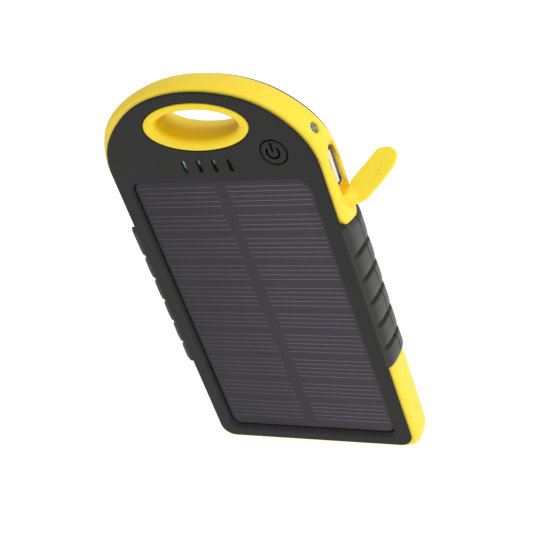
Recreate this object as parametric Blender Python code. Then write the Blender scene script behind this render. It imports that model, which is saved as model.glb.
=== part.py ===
"""Pocket solar charger: a flat power bank with a solar panel on its front, a soft bumper and a carry loop.

It stands upright on its lower bumper: +Z runs along its length with the loop on top, the panel
faces -Y, and the USB socket looks out of the +X side. The origin is the middle of the lower
bumper's flat foot. All lengths below are in millimetres and all angles in degrees. A "depth" is
measured from the front face towards the back, and an "offset" outwards from the front shell's
outline. place() turns x, depth and z into metres.
"""
import math
from collections import namedtuple

import bmesh
import bpy
from mathutils import Matrix, Quaternion, Vector

MM = 0.001
GAP = 0.3                    # air left between neighbouring solids

# ---- driving dimensions -------------------------------------------------------------------------
HALF_WIDTH = 35.3            # front shell's outline, on its straight sides
THICKNESS = 13.6             # front face to back face
FOOT_RISE = 1.5              # foot plane up to the front shell's outline
CORNER_RADIUS = 4.6
ARCH_START = 112.5           # where the straight sides end and the elliptical arch starts
ARCH_RISE = 27.4
TAPER_START = 106.0          # the back slopes forward from here ...
TAPER_END = 136.0            # ... to here
LOOP_END_THICKNESS = 10.9
BULGE = 1.8                  # how far the bumper stands out beyond the outline
LIP = 0.6                    # shell lips that clasp the bumper, front and back
BUMPER_INNER = -2.0
SKIRT_OUTER = BUMPER_INNER - GAP
SKIRT_INNER = SKIRT_OUTER - 1.4
SKIRT_SPLIT = 7.8            # depth where the front shell's skirt ends
FRONT_PLATE = 1.8
BACK_PLATE = 1.6

GRIP_LOW, GRIP_HIGH = 35.7, 89.3
GRIP_SLANT, TOP_SLANT = 0.08, 0.25           # fall per mm of depth: grooves and lower end, top end
GRIP_END = 1.0               # length over which a grip's ends are rounded off
GROOVES, FIRST_GROOVE, GROOVE_PITCH = 5, 43.6, 9.0
GROOVE_HALF = 1.1            # half a groove's width at the surface
GRIP_BULGE, GROOVE_BULGE = 2.25, 1.35
GRIP_SPLIT = 7.8            # depth of the parting line between the two shells' grip halves

PANEL_HALF_WIDTH = 29.8
PANEL_LOW, PANEL_HIGH = 6.7, 108.3
PANEL_RADIUS = 2.6
PANEL_DEPTH = 1.2            # the panel's face lies this far below the front face
WINDOW_LEFT, WINDOW_RIGHT = -31.1, 30.3
WINDOW_LOW, WINDOW_HIGH = 4.4, 109.0
WINDOW_RADIUS = 3.6
SEAT_DEPTH = 3.0
FRAME_BACK = 3.9

LOOP_Z = 128.1
RING_OUTER = (17.4, 8.07)
RING_TUBE = (15.2, 6.0)
RING_THROAT = (12.9, 4.9)
RING_PROUD = 0.3

BUTTON_X, BUTTON_Z = 22.4, 118.4
BUTTON_RADIUS = 4.15
BUTTON_TRAVEL = 0.25
SLOT_X = (-8.5, -3.35, 1.8, 6.95)
SLOT_Z = 114.5
SLOT_LENGTH, SLOT_WIDTH = 3.9, 1.2

TORCH_ANGLE = 20.0           # place on the arch, as an angle of its ellipse
TORCH_DEPTH = 5.6
TORCH_RADIUS = 2.0

USB_Z, USB_DEPTH = 107.2, 8.35
USB_MOUTH_X = 35.0
USB_LENGTH = 14.0
USB_WIDE, USB_TALL = 13.1, 5.1
USB_WALL = 0.35
POCKET_FLOOR_X = 34.9
USB_POCKET = (3.8, 11.3, 99.3, 115.7)        # depth from, depth to, z from, z to
COVER_THICK = 1.5
COVER_HINGE_SLANT = 41.5     # the soft cover folds along a line this far off its own length
COVER_OPEN = 94.0            # how far open the cover is at rest

MICRO_Z, MICRO_DEPTH = 107.2, 7.35
MICRO_WIDE, MICRO_TALL, MICRO_LENGTH = 7.6, 2.8, 5.4
MICRO_POCKET = (4.2, 10.6, 100.4, 114.0)

BOARD_DEPTH, BOARD_THICK = 4.5, 1.1
BOARD_LOW, BOARD_HIGH = 98.2, 117.6
BATTERY = (58.0, 6.6, 84.0)                  # width, thickness, length
BATTERY_LOW = 11.4
BATTERY_DEPTH = 4.3
SCREW_PLACES = {"lower_left": (-26.6, 7.9), "lower_right": (26.6, 7.9),
                "upper_left": (-21.6, 126.4), "upper_right": (21.6, 126.4)}
SCREW_HEAD_RADIUS, SCREW_SHANK_RADIUS = 2.1, 1.0
BOSS_RADIUS = 2.3
PAD_DEEP = 3.0

ROUND = 32                   # sides of a round piece

Station = namedtuple("Station", "x z nx nz")


# ---- frame --------------------------------------------------------------------------------------
def place(x, depth, z):
    return Vector((x, depth - THICKNESS / 2, z)) * MM


def back_depth(z):
    """Depth of the back face: level, then sloping forward towards the loop."""
    t = min(max((z - TAPER_START) / (TAPER_END - TAPER_START), 0.0), 1.0)
    return THICKNESS + (LOOP_END_THICKNESS - THICKNESS) * t * t * (3 - 2 * t) * 0.35 \
        + (LOOP_END_THICKNESS - THICKNESS) * t * 0.65


def remove_everything():
    for obj in list(bpy.data.objects):
        bpy.data.objects.remove(obj, do_unlink=True)


def material(name, colour, rough, metallic=0.0):
    mat = bpy.data.materials.get(name) or bpy.data.materials.new(name)
    mat.use_nodes = True
    shader = mat.node_tree.nodes["Principled BSDF"]
    shader.inputs["Base Color"].default_value = (*colour, 1.0)
    shader.inputs["Roughness"].default_value = rough
    shader.inputs["Metallic"].default_value = metallic
    return mat


def black_rubber():
    return material("black_rubber", (0.045, 0.045, 0.043), 0.6)


def yellow_tpu():
    return material("yellow_tpu", (0.95, 0.66, 0.03), 0.5)


def steel():
    return material("steel", (0.62, 0.6, 0.57), 0.3, 1.0)


# ---- mesh building ------------------------------------------------------------------------------
def finish_mesh(name, bm, mat, origin=None, smooth=True):
    """Closes a bmesh into an object whose origin is at the given point, in metres."""
    bmesh.ops.remove_doubles(bm, verts=bm.verts, dist=1e-7)
    bmesh.ops.recalc_face_normals(bm, faces=bm.faces)
    origin = origin or Vector()
    bmesh.ops.translate(bm, verts=bm.verts, vec=-origin)
    mesh = bpy.data.meshes.new(name)
    bm.to_mesh(mesh)
    bm.free()
    mesh.materials.append(mat)
    if smooth:
        mesh.shade_smooth()
        mesh.set_sharp_from_angle(angle=math.radians(35))
    obj = bpy.data.objects.new(name, mesh)
    obj.location = origin
    bpy.context.scene.collection.objects.link(obj)
    return obj


def ladder_cap(bm, ring):
    """Closes a left-right symmetric ring with cross strips, so that it can follow a bent face."""
    last = len(ring) - 1
    for i in range(last // 2):
        strip = [ring[i], ring[i + 1], ring[last - i - 1], ring[last - i]]
        bm.faces.new(list(dict.fromkeys(strip)))


def loft(name, rings, mat, caps="flat", origin=None):
    """Joins rings of equal length. Caps are flat, ladder (for symmetric rings) or none (a loop)."""
    bm = bmesh.new()
    made = [[bm.verts.new(p) for p in ring] for ring in rings]
    pairs = list(zip(made, made[1:]))
    if caps == "none":
        pairs.append((made[-1], made[0]))
    for a, b in pairs:
        for i in range(len(a)):
            j = (i + 1) % len(a)
            bm.faces.new((a[i], a[j], b[j], b[i]))
    if caps == "flat":
        bm.faces.new(made[0])
        bm.faces.new(made[-1])
    elif caps == "ladder":
        ladder_cap(bm, made[0])
        ladder_cap(bm, made[-1])
    return finish_mesh(name, bm, mat, origin)


def box(name, low, high, mat, origin=None):
    """A block between two corners given as (x, depth, z)."""
    (x0, d0, z0), (x1, d1, z1) = low, high
    rings = [[place(x, d, z) for x, z in ((x0, z0), (x1, z0), (x1, z1), (x0, z1))] for d in (d0, d1)]
    return loft(name, rings, mat, origin=origin)


def oval(half_x, half_z, centre_x, centre_z, depth, sides=48):
    """Points of an ellipse. A depth function gives the depth at each z."""
    ring = []
    for i in range(sides):
        a = 2 * math.pi * i / sides
        x, z = centre_x + half_x * math.cos(a), centre_z + half_z * math.sin(a)
        ring.append(place(x, depth(z) if callable(depth) else depth, z))
    return ring


def rounded_rectangle(x0, x1, z0, z1, radius, depth, steps=5):
    ring = []
    for cx, cz, start in ((x1 - radius, z0 + radius, -90), (x1 - radius, z1 - radius, 0),
                          (x0 + radius, z1 - radius, 90), (x0 + radius, z0 + radius, 180)):
        for k in range(steps + 1):
            a = math.radians(start + 90 * k / steps)
            ring.append(place(cx + radius * math.cos(a), depth, cz + radius * math.sin(a)))
    return ring


def turned(name, profile, mat, centre, axis, origin=None, sides=ROUND):
    """A solid turned from (radius, height) points about an axis through a centre, in metres."""
    turn = Vector((0, 0, 1)).rotation_difference(Vector(axis)).to_matrix()
    bm = bmesh.new()
    rings = []
    for radius, height in profile:
        ring = []
        for i in range(sides):
            a = 2 * math.pi * i / sides
            local = Vector((radius * math.cos(a), radius * math.sin(a), height)) * MM
            ring.append(bm.verts.new(centre + turn @ local))
        rings.append(ring)
    for a, b in zip(rings, rings[1:]):
        for i in range(sides):
            j = (i + 1) % sides
            bm.faces.new((a[i], a[j], b[j], b[i]))
    bm.faces.new(rings[0])
    bm.faces.new(rings[-1])
    return finish_mesh(name, bm, mat, origin)


def tube_along(name, points, radius, mat, sides=8):
    """A wire: a round section carried along a smooth curve through the given points."""
    curve = bpy.data.curves.new(name, "CURVE")
    curve.dimensions = "3D"
    curve.bevel_depth = radius * MM
    curve.bevel_resolution = sides // 4
    curve.use_fill_caps = True
    curve.resolution_u = 1
    spline = curve.splines.new("POLY")
    smooth = catmull_rom(points)
    spline.points.add(len(smooth) - 1)
    for point, co in zip(spline.points, smooth):
        point.co = (*place(*co), 1.0)
    curve.materials.append(mat)
    obj = bpy.data.objects.new(name, curve)
    bpy.context.scene.collection.objects.link(obj)
    return obj


def catmull_rom(points, steps=5):
    """A smooth curve through the points."""
    pts = [Vector(p) for p in points]
    pts = [2 * pts[0] - pts[1]] + pts + [2 * pts[-1] - pts[-2]]
    out = []
    for a, b, c, d in zip(pts, pts[1:], pts[2:], pts[3:]):
        for k in range(steps):
            t = k / steps
            out.append(0.5 * (2 * b + (c - a) * t + (2 * a - 5 * b + 4 * c - d) * t * t
                              + (3 * b - a - 3 * c + d) * t ** 3))
    out.append(pts[-2])
    return out


def boolean(target, operand, operation):
    operand.hide_render = True
    operand.display_type = "WIRE"
    mod = target.modifiers.new(operand.name, "BOOLEAN")
    mod.operation = operation
    mod.solver = "EXACT"
    mod.object = operand


def cut(target, *operands):
    for operand in operands:
        boolean(target, operand, "DIFFERENCE")


def unite(target, *operands):
    for operand in operands:
        boolean(target, operand, "UNION")


# ---- outline ------------------------------------------------------------------------------------
def right_side_stations():
    """The outline's right half, from the end of the straight bottom up to the arch's middle."""
    stations = [Station(HALF_WIDTH - CORNER_RADIUS, FOOT_RISE, 0, -1)]
    for k in range(1, 7):
        a = math.radians(-90 + 15 * k)
        stations.append(Station(HALF_WIDTH - CORNER_RADIUS * (1 - math.cos(a)),
                                FOOT_RISE + CORNER_RADIUS * (1 + math.sin(a)),
                                math.cos(a), math.sin(a)))
    stations.append(Station(HALF_WIDTH, TAPER_START, 1, 0))
    steps = 22
    for k in range(steps + 1):
        a = math.pi / 2 * k / steps
        nx, nz = math.cos(a) / HALF_WIDTH, math.sin(a) / ARCH_RISE
        length = math.hypot(nx, nz)
        stations.append(Station(HALF_WIDTH * math.cos(a), ARCH_START + ARCH_RISE * math.sin(a),
                                nx / length, nz / length))
    return stations


def mirrored(stations):
    return [Station(-s.x, s.z, -s.nx, s.nz) for s in reversed(stations)]


def outline_ring(offset, depth):
    """The whole outline, moved outwards by an offset, at a depth or at a function of z."""
    right = right_side_stations()
    return [station_point(s, offset, depth) for s in right + mirrored(right)[1:]]


def station_point(s, offset, depth):
    z = s.z + s.nz * offset
    return place(s.x + s.nx * offset, depth(s.z) if callable(depth) else depth, z)


def bumper_profile(station, bulge, flat=None, points=8):
    """Section of the bumper at a station, as (offset, depth): a crowned outside, a straight inside."""
    start, end = LIP + GAP, back_depth(station.z) - LIP - 2 * GAP
    profile = [(BUMPER_INNER, start)]
    for k in range(points + 1):
        m = -math.cos(math.pi * k / points)
        offset = bulge * math.sqrt(max(1 - m * m, 0)) - 0.1
        if flat is not None:
            offset = min(offset, flat)
        profile.append((offset, (start + end) / 2 + m * (end - start) / 2))
    profile.append((BUMPER_INNER, end))
    return profile


def slanted(z_middle, depth):
    """Height, at a depth, of a slanted line that passes mid-depth at z_middle: steepest at the top."""
    up = (z_middle - GRIP_LOW) / (GRIP_HIGH - GRIP_LOW)
    return z_middle - (GRIP_SLANT + (TOP_SLANT - GRIP_SLANT) * up ** 8) * (depth - THICKNESS / 2)


def slanted_end(ring_profile, side, z_middle):
    """An end section of a bumper, on a straight side, which slants with depth."""
    return [place(side * (HALF_WIDTH + o), d, slanted(z_middle, d)) for o, d in ring_profile]


# ---- shells and bumpers -------------------------------------------------------------------------
def bumpers():
    right = right_side_stations()
    upper = [s for s in right if s.z >= TAPER_START]
    lower = [s for s in right if s.z <= FOOT_RISE + CORNER_RADIUS + 0.01]

    side_profile = bumper_profile(Station(HALF_WIDTH, 60, 1, 0), BULGE)
    top_end, low_end = GRIP_HIGH + GAP, GRIP_LOW - GAP

    def upper_ring(s):
        return [station_point(s, o, d) for o, d in bumper_profile(s, BULGE)]

    def lower_ring(s):
        level = FOOT_RISE if s.nz < -0.999 else FOOT_RISE + (BULGE - FOOT_RISE) * (1 + s.nz)
        return [station_point(s, o, d) for o, d in bumper_profile(s, BULGE, flat=level)]

    arch = upper + mirrored(upper)[1:]
    rings = [slanted_end(side_profile, 1, top_end)] + [upper_ring(s) for s in arch]
    rings.append(slanted_end(side_profile, -1, top_end))
    upper_bumper = loft("upper_bumper", rings, yellow_tpu())

    bottom = list(reversed(lower)) + mirrored(list(reversed(lower)))
    rings = [slanted_end(side_profile, 1, low_end)] + [lower_ring(s) for s in bottom]
    rings.append(slanted_end(side_profile, -1, low_end))
    loft("lower_bumper", rings, yellow_tpu())

    for side, pocket, name in ((1, USB_POCKET, "usb_pocket"), (-1, MICRO_POCKET, "micro_pocket")):
        d0, d1, z0, z1 = pocket
        cut(upper_bumper, box(f"{name}_cutter", (side * POCKET_FLOOR_X, d0, z0), (side * 44, d1, z1),
                              yellow_tpu()))
    cut(upper_bumper, *socket_passages("bumper", 32.0, 36.0))
    cut(upper_bumper, torch_passage("bumper"))


def socket_passages(owner, inner_x, outer_x):
    """Cutters that let both sockets through a side wall."""
    usb = box(f"{owner}_usb_passage", (inner_x, USB_DEPTH - USB_TALL / 2 - GAP, USB_Z - USB_WIDE / 2 - GAP),
              (outer_x, USB_DEPTH + USB_TALL / 2 + GAP, USB_Z + USB_WIDE / 2 + GAP), steel())
    micro = box(f"{owner}_micro_passage",
                (-outer_x, MICRO_DEPTH - MICRO_TALL / 2 - GAP, MICRO_Z - MICRO_WIDE / 2 - GAP),
                (-inner_x, MICRO_DEPTH + MICRO_TALL / 2 + GAP, MICRO_Z + MICRO_WIDE / 2 + GAP), steel())
    return usb, micro


def torch_frame():
    """The torch's place on the outline, in metres, and the direction that it shines in."""
    a = math.radians(TORCH_ANGLE)
    axis = Vector((math.cos(a) / HALF_WIDTH, 0, math.sin(a) / ARCH_RISE)).normalized()
    return place(HALF_WIDTH * math.cos(a), TORCH_DEPTH, ARCH_START + ARCH_RISE * math.sin(a)), axis


def torch_passage(owner):
    centre, axis = torch_frame()
    reach = TORCH_RADIUS + GAP
    return turned(f"{owner}_torch_passage", [(reach, -5.6), (reach, 5.0)], steel(), centre, axis)


def groove_heights():
    return [FIRST_GROOVE + GROOVE_PITCH * k for k in range(GROOVES)]


def grip_section(z_middle, depth_from, depth_to, inner, points=7):
    """Section of a ribbed grip: a crowned outside that dips at each groove."""
    dip = max(0.0, 1 - min(abs(z_middle - z) for z in groove_heights()) / GROOVE_HALF)
    ends = min(z_middle - GRIP_LOW, GRIP_HIGH - z_middle) / GRIP_END
    rise = GRIP_BULGE + (GROOVE_BULGE - GRIP_BULGE) * dip
    rise *= 0.82 + 0.18 * min(ends, 1.0)
    middle, half = THICKNESS / 2, THICKNESS / 2 - 0.45
    section = [(inner, depth_from)]
    for k in range(points + 1):
        depth = depth_from + (depth_to - depth_from) * (1 - math.cos(math.pi * k / points)) / 2
        m = (depth - middle) / half
        section.append((rise * math.sqrt(max(1 - m * m, 0.0)), depth))
    section.append((inner, depth_to))
    return section


def grip_sections_at():
    """Heights of the grip's sections: close together at the grooves and the ends."""
    heights = [GRIP_LOW, GRIP_LOW + GRIP_END]
    for z in groove_heights():
        heights += [z - GROOVE_PITCH / 2, z - GROOVE_HALF, z, z + GROOVE_HALF]
    last = groove_heights()[-1]
    heights += [last + GROOVE_PITCH / 2, GRIP_HIGH - GRIP_END, GRIP_HIGH]
    return heights


def grip(name, side, depth_from, depth_to, inner):
    rings = []
    for z_middle in grip_sections_at():
        rings.append([place(side * (HALF_WIDTH + o), d, slanted(z_middle, d))
                      for o, d in grip_section(z_middle, depth_from, depth_to, inner)])
    return loft(name, rings, black_rubber())


def screw_boss(name, x, z, depth_from, depth_to, radius):
    return turned(name, [(radius, 0), (radius, depth_to - depth_from)], black_rubber(),
                  place(x, depth_from, z), (0, 1, 0), sides=24)


def front_shell():
    rings = [outline_ring(-0.45, 0.0), outline_ring(0.0, 0.3), outline_ring(0.0, LIP),
             outline_ring(SKIRT_OUTER, LIP), outline_ring(SKIRT_OUTER, SKIRT_SPLIT),
             outline_ring(SKIRT_INNER, SKIRT_SPLIT), outline_ring(SKIRT_INNER, FRONT_PLATE)]
    shell = loft("front_shell", rings, black_rubber(), caps="ladder")
    wall = HALF_WIDTH + SKIRT_OUTER - 0.5
    unite(shell, box("panel_frame_block", (-wall, 1.0, 4.4), (wall, FRAME_BACK, 111.4), black_rubber()))
    for side, word in ((-1, "left"), (1, "right")):
        unite(shell, grip(f"front_grip_{word}", side, 0.35, GRIP_SPLIT, BUMPER_INNER))
        bridge = sorted((side * (HALF_WIDTH - 0.8), side * (HALF_WIDTH + SKIRT_OUTER - 0.5)))
        unite(shell, box(f"grip_bridge_{word}", (bridge[0], 0.9, GRIP_LOW + 2),
                         (bridge[1], SKIRT_SPLIT - 0.6, GRIP_HIGH - 2), black_rubber()))
    for word, (x, z) in SCREW_PLACES.items():
        end = back_depth(z) - PAD_DEEP - GAP
        unite(shell, screw_boss(f"boss_{word}", x, z, 1.5 if z > 111 else 3.4, end, BOSS_RADIUS))
        cut(shell, screw_boss(f"boss_bore_{word}", x, z, 5.2, 14, SCREW_SHANK_RADIUS + GAP))

    window = [rounded_rectangle(WINDOW_LEFT, WINDOW_RIGHT, WINDOW_LOW, WINDOW_HIGH, WINDOW_RADIUS, d)
              for d in (-1.0, 0.0)]
    foot = PANEL_HALF_WIDTH + GAP
    window += [rounded_rectangle(-foot, foot, PANEL_LOW - GAP, PANEL_HIGH + GAP, PANEL_RADIUS + GAP, d)
               for d in (PANEL_DEPTH, SEAT_DEPTH)]
    cut(shell, loft("window_cutter", window, black_rubber()))

    flange = [axis + GAP for axis in RING_OUTER]
    tube = [axis + GAP for axis in RING_TUBE]
    cut(shell, loft("loop_cutter", [oval(*flange, 0, LOOP_Z, -1.0), oval(*flange, 0, LOOP_Z, 0.9),
                                    oval(*tube, 0, LOOP_Z, 0.9), oval(*tube, 0, LOOP_Z, 6.0)],
                    black_rubber()))
    hole = BUTTON_RADIUS + GAP
    cut(shell, turned("button_hole", [(hole, -2), (hole, 6)], black_rubber(),
                      place(BUTTON_X, 0, BUTTON_Z), (0, 1, 0)))
    for number, x in enumerate(SLOT_X, 1):
        cut(shell, slot_body(f"slot_cutter_{number}", x, SLOT_WIDTH, SLOT_LENGTH, -1.0, 5.0, black_rubber()))
    for word, x in (("minus", -4.0), ("plus", 4.0)):
        cut(shell, screw_boss(f"lead_hole_{word}", x, 101.0, 2.0, 6.0, 1.1))
    cut(shell, *socket_passages("front_shell", 30.0, 36.0))
    cut(shell, torch_passage("front_shell"))


def slot_body(name, x, width, length, depth_from, depth_to, mat):
    radius = width / 2 - 0.001
    rings = [rounded_rectangle(x - width / 2, x + width / 2, SLOT_Z - length / 2, SLOT_Z + length / 2,
                               radius, d, steps=4) for d in (depth_from, depth_to)]
    return loft(name, rings, mat)


def back_shell():
    def below(amount):
        return lambda z: back_depth(z) - amount

    rings = [outline_ring(-1.4, below(0.0)), outline_ring(-0.45, below(0.3)),
             outline_ring(-0.1, below(LIP + 0.1)), outline_ring(SKIRT_OUTER, below(LIP + 0.1)),
             outline_ring(SKIRT_OUTER, SKIRT_SPLIT + GAP), outline_ring(SKIRT_INNER, SKIRT_SPLIT + GAP),
             outline_ring(SKIRT_INNER, below(BACK_PLATE))]
    shell = loft("back_shell", rings, black_rubber(), caps="ladder")
    for side, word in ((-1, "left"), (1, "right")):
        unite(shell, grip(f"back_grip_{word}", side, GRIP_SPLIT + GAP, THICKNESS - 0.5,
                          SKIRT_OUTER - 0.5))
    for word, (x, z) in SCREW_PLACES.items():
        back = back_depth(z)
        unite(shell, screw_boss(f"pad_{word}", x, z, back - PAD_DEEP, back - 0.9, BOSS_RADIUS + 0.6))
        cut(shell, screw_boss(f"head_recess_{word}", x, z, back - 1.7, back + 3,
                              SCREW_HEAD_RADIUS + GAP))
        cut(shell, screw_boss(f"shank_hole_{word}", x, z, back - 5, back + 1,
                              SCREW_SHANK_RADIUS + GAP))
    tube = [axis + GAP for axis in RING_TUBE]
    cut(shell, loft("back_loop_cutter", [oval(*tube, 0, LOOP_Z, 4.0), oval(*tube, 0, LOOP_Z, 18.0)],
                    black_rubber()))
    cut(shell, *socket_passages("back_shell", 30.0, 36.0))


def loop_ring():
    flange_back = 0.6
    rings = [oval(*RING_OUTER, 0, LOOP_Z, flange_back), oval(*RING_OUTER, 0, LOOP_Z, 0.1),
             oval(16.8, 7.5, 0, LOOP_Z, -RING_PROUD), oval(15.2, 6.3, 0, LOOP_Z, 0.0),
             oval(13.7, 5.3, 0, LOOP_Z, 1.6), oval(*RING_THROAT, 0, LOOP_Z, 4.5),
             oval(*RING_THROAT, 0, LOOP_Z, lambda z: back_depth(z) - 2.0),
             oval(13.7, 5.4, 0, LOOP_Z, lambda z: back_depth(z) - 0.4),
             oval(14.3, 5.6, 0, LOOP_Z, lambda z: back_depth(z) + 0.1),
             oval(*RING_TUBE, 0, LOOP_Z, lambda z: back_depth(z) - 0.1),
             oval(*RING_TUBE, 0, LOOP_Z, flange_back)]
    loft("loop_ring", rings, yellow_tpu(), caps="none")


# ---- solar panel --------------------------------------------------------------------------------
def panel_layer(name, depth_from, depth_to, inset, mat):
    half = PANEL_HALF_WIDTH - inset
    rings = [rounded_rectangle(-half, half, PANEL_LOW + inset, PANEL_HIGH - inset,
                               PANEL_RADIUS - inset / 2, d, steps=4) for d in (depth_from, depth_to)]
    return loft(name, rings, mat)


def solar_panel():
    """Three layers, front to back, that sit in the window's seat."""
    panel_layer("panel_laminate", PANEL_DEPTH, 1.5, 0.0, material("laminate", (0.2, 0.19, 0.22), 0.15))
    panel_layer("solar_cells", 1.8, 2.0, 0.8, material("cells", (0.06, 0.055, 0.075), 0.35))
    panel_layer("panel_backing", 2.3, 2.7, 0.0, material("fibreglass", (0.02, 0.13, 0.05), 0.6))


# ---- button and lights --------------------------------------------------------------------------
def power_button():
    centre = place(BUTTON_X, 0, BUTTON_Z)
    hole = BUTTON_RADIUS
    turned("power_button", [(hole - 0.25, 0.0), (hole, 0.2), (hole, 2.1), (hole + 0.9, 2.1),
                            (hole + 0.9, 2.45), (1.2, 2.45), (1.2, 2.7)],
           black_rubber(), centre, (0, 1, 0), origin=centre)
    turned("switch_plunger", [(0.8, 3.0), (0.8, 3.9)], material("plunger", (0.03, 0.03, 0.03), 0.5),
           centre, (0, 1, 0), origin=centre, sides=20)
    body = box("switch_body", (BUTTON_X - 2.3, 3.3, BUTTON_Z - 2.3), (BUTTON_X + 2.3, 4.2, BUTTON_Z + 2.3),
               steel())
    cut(body, screw_boss("switch_bore", BUTTON_X, BUTTON_Z, 2.0, 6.0, 1.15))


def charge_lights():
    clear = material("clear_plastic", (0.55, 0.6, 0.58), 0.1)
    diode = material("led", (0.8, 0.85, 0.75), 0.3)
    for number, x in enumerate(SLOT_X, 1):
        slot_body(f"light_pipe_{number}", x, SLOT_WIDTH - 2 * GAP, SLOT_LENGTH - 2 * GAP, 0.3, 3.4, clear)
        box(f"charge_led_{number}", (x - 0.4, 3.7, SLOT_Z - 0.8), (x + 0.4, 4.2, SLOT_Z + 0.8), diode)


def torch():
    centre, axis = torch_frame()
    clear = material("clear_plastic", (0.55, 0.6, 0.58), 0.1)
    turned("torch_lens", [(TORCH_RADIUS, -1.9), (TORCH_RADIUS, 1.25), (1.6, 1.55), (0.8, 1.75)],
           clear, centre, axis, sides=24)
    turned("torch_led", [(1.9, -5.0), (1.9, -4.2), (1.5, -4.2), (1.5, -2.9), (0.9, -2.3)],
           material("led", (0.8, 0.85, 0.75), 0.3), centre, axis, sides=20)


# ---- sockets and covers -------------------------------------------------------------------------
def socket_shell(name, side, mouth_x, length, wide, tall, z, depth, wall):
    """A sheet-metal sleeve, open at both ends, with its long side along Z."""
    inner, outer = sorted((side * mouth_x, side * (mouth_x - length)))
    shell = box(name, (inner, depth - tall / 2, z - wide / 2), (outer, depth + tall / 2, z + wide / 2), steel())
    cut(shell, box(f"{name}_bore", (inner - 2, depth - tall / 2 + wall, z - wide / 2 + wall),
                   (outer + 2, depth + tall / 2 - wall, z + wide / 2 - wall), steel()))
    return shell


def usb_socket():
    socket_shell("usb_socket_shell", 1, USB_MOUTH_X, USB_LENGTH, USB_WIDE, USB_TALL, USB_Z, USB_DEPTH,
                 USB_WALL)
    white = material("white_plastic", (0.8, 0.79, 0.74), 0.4)
    front = USB_DEPTH - USB_TALL / 2 + 1.45
    box("usb_socket_tongue", (USB_MOUTH_X - USB_LENGTH + 0.6, front, USB_Z - 5.55),
        (USB_MOUTH_X - 0.8, front + 1.84, USB_Z + 5.55), white)
    brass = material("contact", (0.8, 0.6, 0.25), 0.3, 1.0)
    for number in range(4):
        z = USB_Z + (number - 1.5) * 2.4
        box(f"usb_contact_{number + 1}", (USB_MOUTH_X - 11.0, front + 1.84 + GAP, z - 0.5),
            (USB_MOUTH_X - 1.6, front + 1.84 + GAP + 0.25, z + 0.5), brass)


def micro_socket():
    socket_shell("micro_usb_shell", -1, 34.7, MICRO_LENGTH, MICRO_WIDE, MICRO_TALL, MICRO_Z, MICRO_DEPTH, 0.3)
    box("micro_usb_tongue", (-34.0, MICRO_DEPTH - 0.35, MICRO_Z - 1.9),
        (-29.9, MICRO_DEPTH + 0.35, MICRO_Z + 1.9), material("black_plastic", (0.03, 0.03, 0.03), 0.5))


def cover_plate(name, side, pocket, low_z, thick, origin_point):
    """A soft cover that fills its pocket: rounded upper end, outside flush with the bumper."""
    d0, d1, z0, z1 = pocket
    d0, d1 = d0 + GAP, d1 - GAP
    half = (d1 - d0) / 2
    outer = HALF_WIDTH + BULGE - 0.25
    outline = [(d0, low_z), (d1, low_z)]
    for k in range(9):
        a = math.radians(180 * k / 8)
        outline.append((d0 + half + half * math.cos(a), z1 - GAP - half * 0.62 + half * 0.62 * math.sin(a)))
    rings = [[place(side * x, d, z) for d, z in outline] for x in (outer - thick, outer)]
    return loft(name, rings, yellow_tpu(), origin=origin_point)


def usb_cover():
    """Modelled shut, then turned open about its slanted fold line by a parent empty."""
    d0, d1, z0, z1 = USB_POCKET
    hinge = place(HALF_WIDTH + BULGE - 0.25, d1 - GAP, z0 + GAP)
    slant = math.radians(COVER_HINGE_SLANT)
    axis = Vector((0, math.sin(slant), math.cos(slant)))
    cover = cover_plate("usb_cover", 1, USB_POCKET, z0 + GAP, COVER_THICK, hinge)
    pivot = bpy.data.objects.new("usb_cover_pivot", None)
    bpy.context.scene.collection.objects.link(pivot)
    pivot.rotation_mode = "QUATERNION"
    pivot.location = hinge
    pivot.rotation_quaternion = Quaternion(axis, math.radians(COVER_OPEN))
    cover.parent = pivot
    cover.location = (0, 0, 0)


def micro_usb_cover():
    d0, d1, z0, z1 = MICRO_POCKET
    hinge = place(-(HALF_WIDTH + BULGE - 0.25), (d0 + d1) / 2, z0 + GAP)
    cover_plate("micro_usb_cover", -1, MICRO_POCKET, z0 + GAP, COVER_THICK, hinge)


# ---- electronics --------------------------------------------------------------------------------
def circuit_board():
    green = material("fibreglass", (0.02, 0.13, 0.05), 0.6)
    half, tab_left, tab_right, tab_top = 29.4, 18.9, 26.2, 121.6
    outline = [(-half, BOARD_LOW), (half, BOARD_LOW), (half, 115.4), (tab_right, tab_top - 1),
               (tab_right - 1.5, tab_top), (tab_left, tab_top), (tab_left, BOARD_HIGH), (-26.6, BOARD_HIGH),
               (-half, 115.4)]
    rings = [[place(x, d, z) for x, z in outline] for d in (BOARD_DEPTH, BOARD_DEPTH + BOARD_THICK)]
    loft("circuit_board", rings, green)
    top = BOARD_DEPTH + BOARD_THICK + GAP
    dark = material("chip", (0.02, 0.02, 0.022), 0.5)
    box("charge_controller", (-9.0, top, 104.0), (-3.0, top + 1.4, 110.0), dark)
    box("boost_converter", (4.0, top, 101.2), (8.2, top + 1.2, 105.4), dark)
    turned("power_inductor", [(3.0, 0), (3.0, 2.8)], dark, place(10.5, top, 111.2), (0, 1, 0), sides=20)
    box("output_capacitor", (14.6, top, 101.4), (18.2, top + 2.4, 104.6),
        material("capacitor", (0.5, 0.33, 0.12), 0.5))


def battery():
    wide, thick, long = BATTERY
    rings = [rounded_rectangle(-wide / 2, wide / 2, BATTERY_LOW, BATTERY_LOW + long, 1.5, d, steps=3)
             for d in (BATTERY_DEPTH, BATTERY_DEPTH + thick)]
    loft("battery_cell", rings, material("pouch", (0.55, 0.56, 0.58), 0.35, 0.6))
    pad = BATTERY_DEPTH + thick + GAP
    box("battery_pad", (-22, pad, 18), (22, THICKNESS - BACK_PLATE - GAP, 90),
        material("foam", (0.12, 0.12, 0.13), 0.9))


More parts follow.
